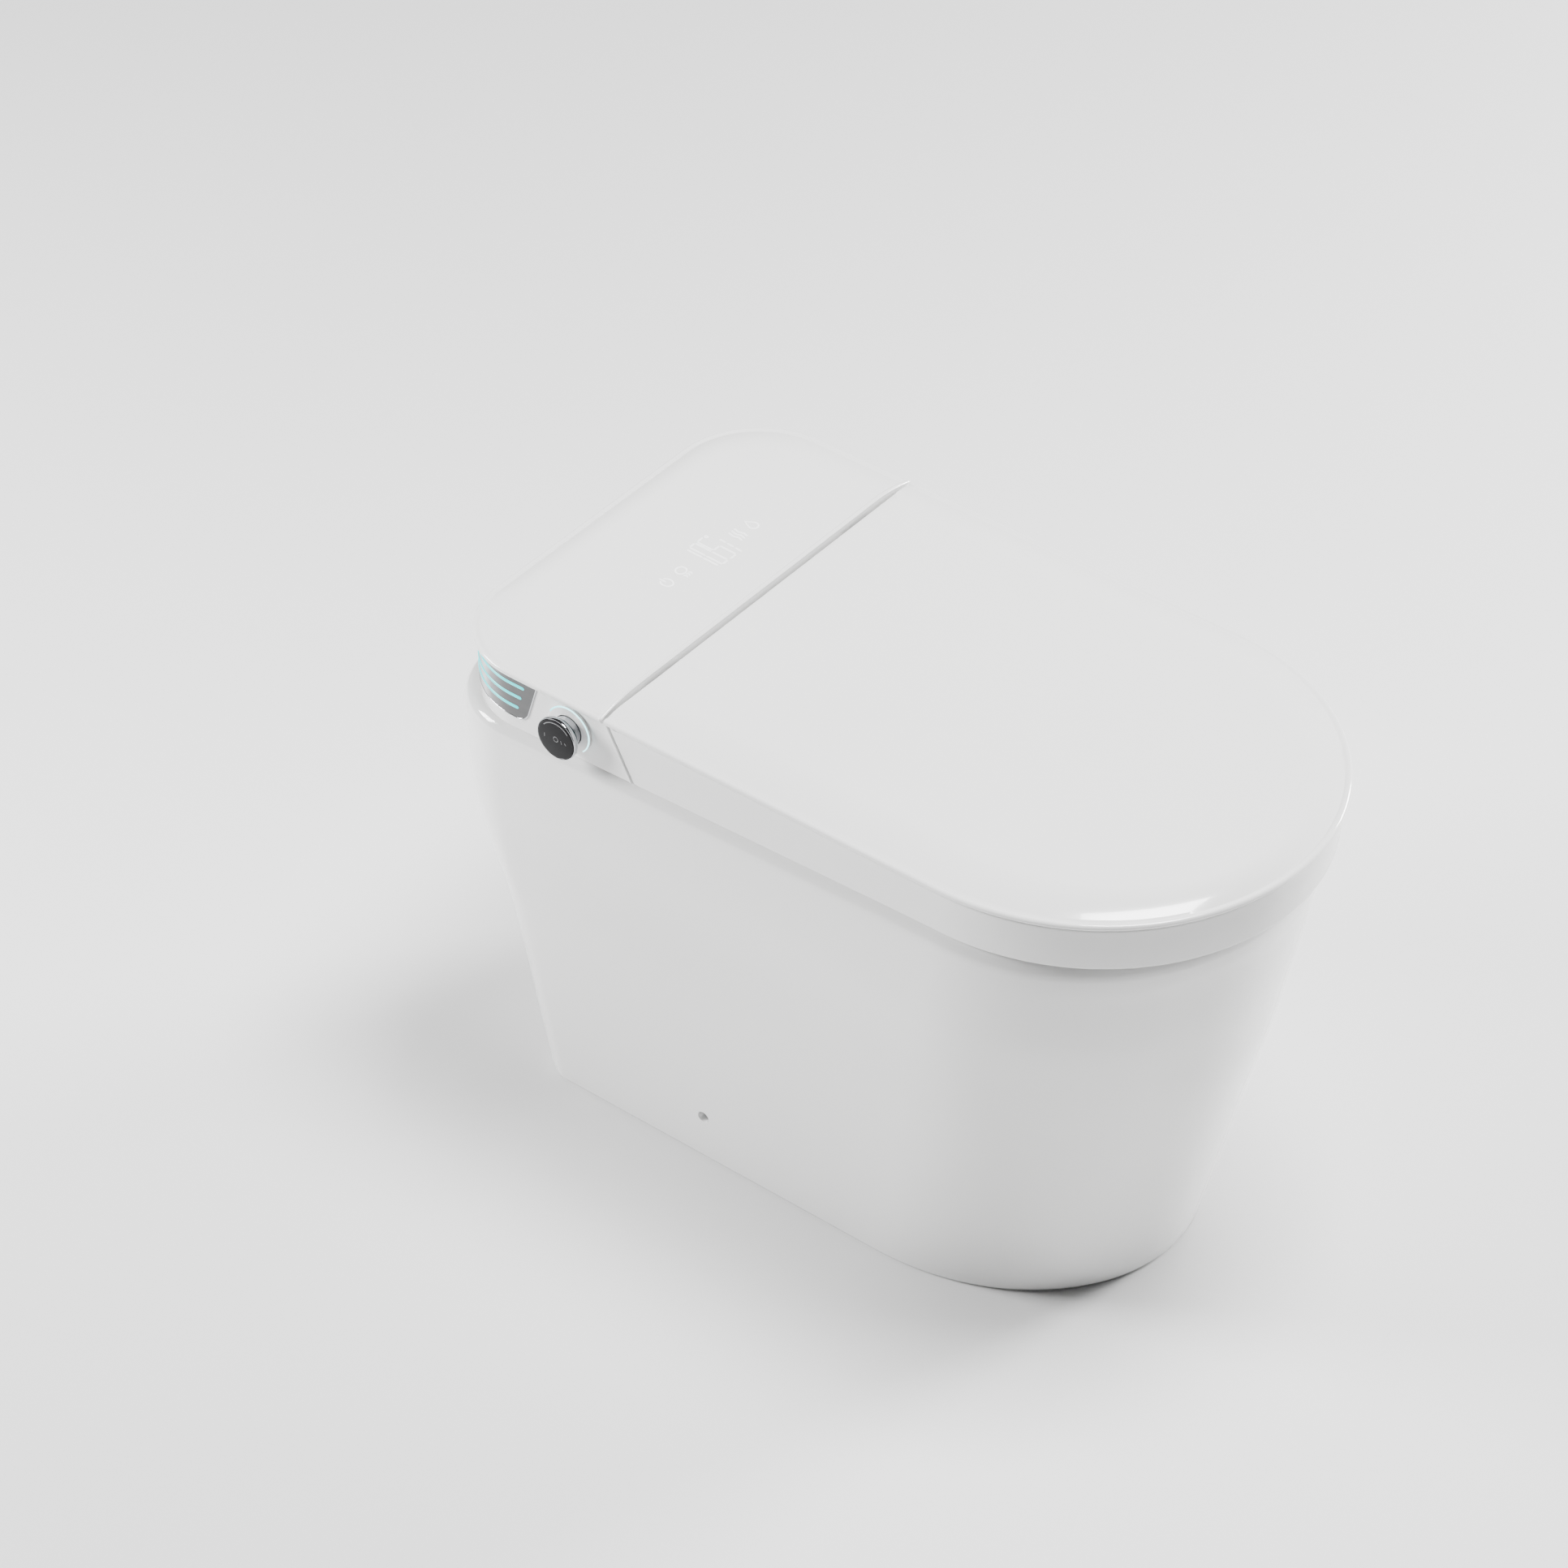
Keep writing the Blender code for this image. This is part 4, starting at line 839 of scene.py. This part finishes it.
def arc(x, y, rx, ry, start, end, steps=24):
    turns = [radians(start + (end - start) * i / steps) for i in range(steps + 1)]
    return [(x + rx * cos(a), y + ry * sin(a)) for a in turns]


def display_paths():
    """Generic signs in millimetres: power, seat warmth, digits, level bars, air and drop."""
    power = [arc(-37.9, 229.3, 4.4, 5.6, 125, 415), [(-37.9, 231.0), (-37.9, 236.4)]]
    warmth = [arc(-19.0, 230.4, 4.7, 4.4, 0, 360, 30)]
    warmth += [[(x - 0.8, 224.2), (x + 0.5, 222.8), (x - 0.5, 221.2)] for x in (-21.8, -19.0, -16.2)]
    digits = digit_strokes("1", 3.0, 4.0, 211, 244) + digit_strokes("0", 7.4, 14.4, 210, 244)
    digits += digit_strokes("5", 16.6, 24.4, 209.6, 243.8)
    degree = [arc(27.6, 242.3, 1.1, 1.3, 0, 350, 16)]
    bars = [[(31.6 - n * 0.6, 231.4 - n * 8.5), (31.3 - n * 0.6, 226.4 - n * 8.5)] for n in range(3)]
    air = [[(x, 218.0), (x + 1.2, 221.5), (x - 0.3, 226.0), (x + 1.0, 231.0)]
           for x in (41.5 + n * 3.5 for n in range(3))]
    drop = [arc(62.5, 222.4, 4.0, 4.2, 150, 390, 26) + [(62.5, 231.0), (59.0, 224.6)]]
    return {"power": power, "warmth": warmth, "digits": digits + degree, "bars": bars,
            "air": air, "drop": drop}


def build_display(look):
    for name, paths in display_paths().items():
        for n, points in enumerate(paths, 1):
            path = [Vector((x / 1000, y / 1000, CROWN + 0.00002)) for x, y in points]
            stroke = sweep(path, [Vector((0, 0, 1))] * len(path), STROKE, 0.00010, f"sign_{name}_{n}", 8)
            dress(stroke, "pan", "light_guide", look)


# ---------------------------------------------------------------- carried-over CAD pieces

SKIP_BEVEL = ("front_nozzle", "rear_nozzle", "nozzle_guide")


def dress_frame(frame, looks):
    """Every CAD node still shown gets its slot's material, smooth round faces and, apart from the nozzles
    and the nozzle guide, softened edges.
    """
    slots = {row["node"]: row["material_slot"] for row in frame["record"]["subparts"]}
    for name, node in frame["nodes"].items():
        if node.hide_render:
            continue
        node.data.materials.clear()
        node.data.materials.append(looks[slots[name]])
        node.data.shade_smooth()
        merge = node.modifiers.new("weld", "WELD")
        merge.merge_threshold = 1e-6
        if name not in SKIP_BEVEL:
            soften = node.modifiers.new("edges", "BEVEL")
            soften.width = 0.0003
            soften.segments = 2
            soften.angle_limit = radians(38)
        crisp = node.modifiers.new("split", "EDGE_SPLIT")
        crisp.split_angle = radians(38)


# ---------------------------------------------------------------- studio

def build_floor():
    mesh = bmesh.new()
    corners = [(-9, -9, 0), (9, -9, 0), (9, 9, 0), (-9, 9, 0)]
    mesh.faces.new([mesh.verts.new(p) for p in corners])
    floor = finish_mesh(mesh, "studio_floor")
    floor.location.z = -0.0005
    paint = material("floor_paint", (0.80, 0.80, 0.80), 0.75, 0.05, 0.004, 1.5, 40, 0.02)
    floor.data.materials.append(paint)


def area_light(name, at, aim, size, power):
    data = bpy.data.lights.new(name, "AREA")
    data.shape = "RECTANGLE"
    data.size, data.size_y = size
    data.energy = power
    lamp = bpy.data.objects.new(name, data)
    lamp.location = at
    lamp.rotation_euler = (Vector(aim) - Vector(at)).to_track_quat("-Z", "Y").to_euler()
    bpy.context.scene.collection.objects.link(lamp)


def build_studio():
    build_floor()
    world = bpy.data.worlds.new("studio")
    bpy.context.scene.world = world
    world.use_nodes = True
    sky = world.node_tree.nodes["Background"]
    sky.inputs["Color"].default_value = (1.0, 1.0, 1.0, 1)
    sky.inputs["Strength"].default_value = 0.07
    area_light("overhead", (0.3, -0.5, 3.2), (0.0, -0.05, 0.3), (1.0, 1.0), 200)
    area_light("left_softbox", (-1.5, 2.5, 1.5), (0.0, 0.0, 0.20), (1.0, 1.0), 190)
    area_light("right_softbox", (3.2, -1.3, 1.1), (0.0, -0.10, 0.2), (0.9, 1.2), 300)


def build_camera():
    data = bpy.data.cameras.new("photo_camera")
    data.lens = CAMERA_LENS
    data.sensor_width = 36.0
    camera = bpy.data.objects.new("photo_camera", data)
    right = CAMERA_LOOK.cross(Vector((0, 0, 1))).normalized()
    up = right.cross(CAMERA_LOOK).normalized()
    tilted = right * cos(CAMERA_ROLL) + up * sin(CAMERA_ROLL)
    upright = up * cos(CAMERA_ROLL) - right * sin(CAMERA_ROLL)
    turn = Matrix((tilted, upright, -CAMERA_LOOK)).transposed()
    camera.matrix_world = Matrix.Translation(CAMERA_AT) @ turn.to_4x4()
    bpy.context.scene.collection.objects.link(camera)
    bpy.context.scene.camera = camera


def build():
    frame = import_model()
    looks = make_looks()
    build_pan(looks["glazed_ceramic"])
    build_lid(looks["gloss_white"])
    build_cover(looks["gloss_white"])
    build_bead(looks["gloss_white"])
    build_seat(looks["gloss_white"])
    build_housing(looks["gloss_white"])
    build_window(looks)
    build_knob(looks)
    build_display(looks["marks"])
    dress_frame(frame, looks)
    build_studio()
    build_camera()


build()
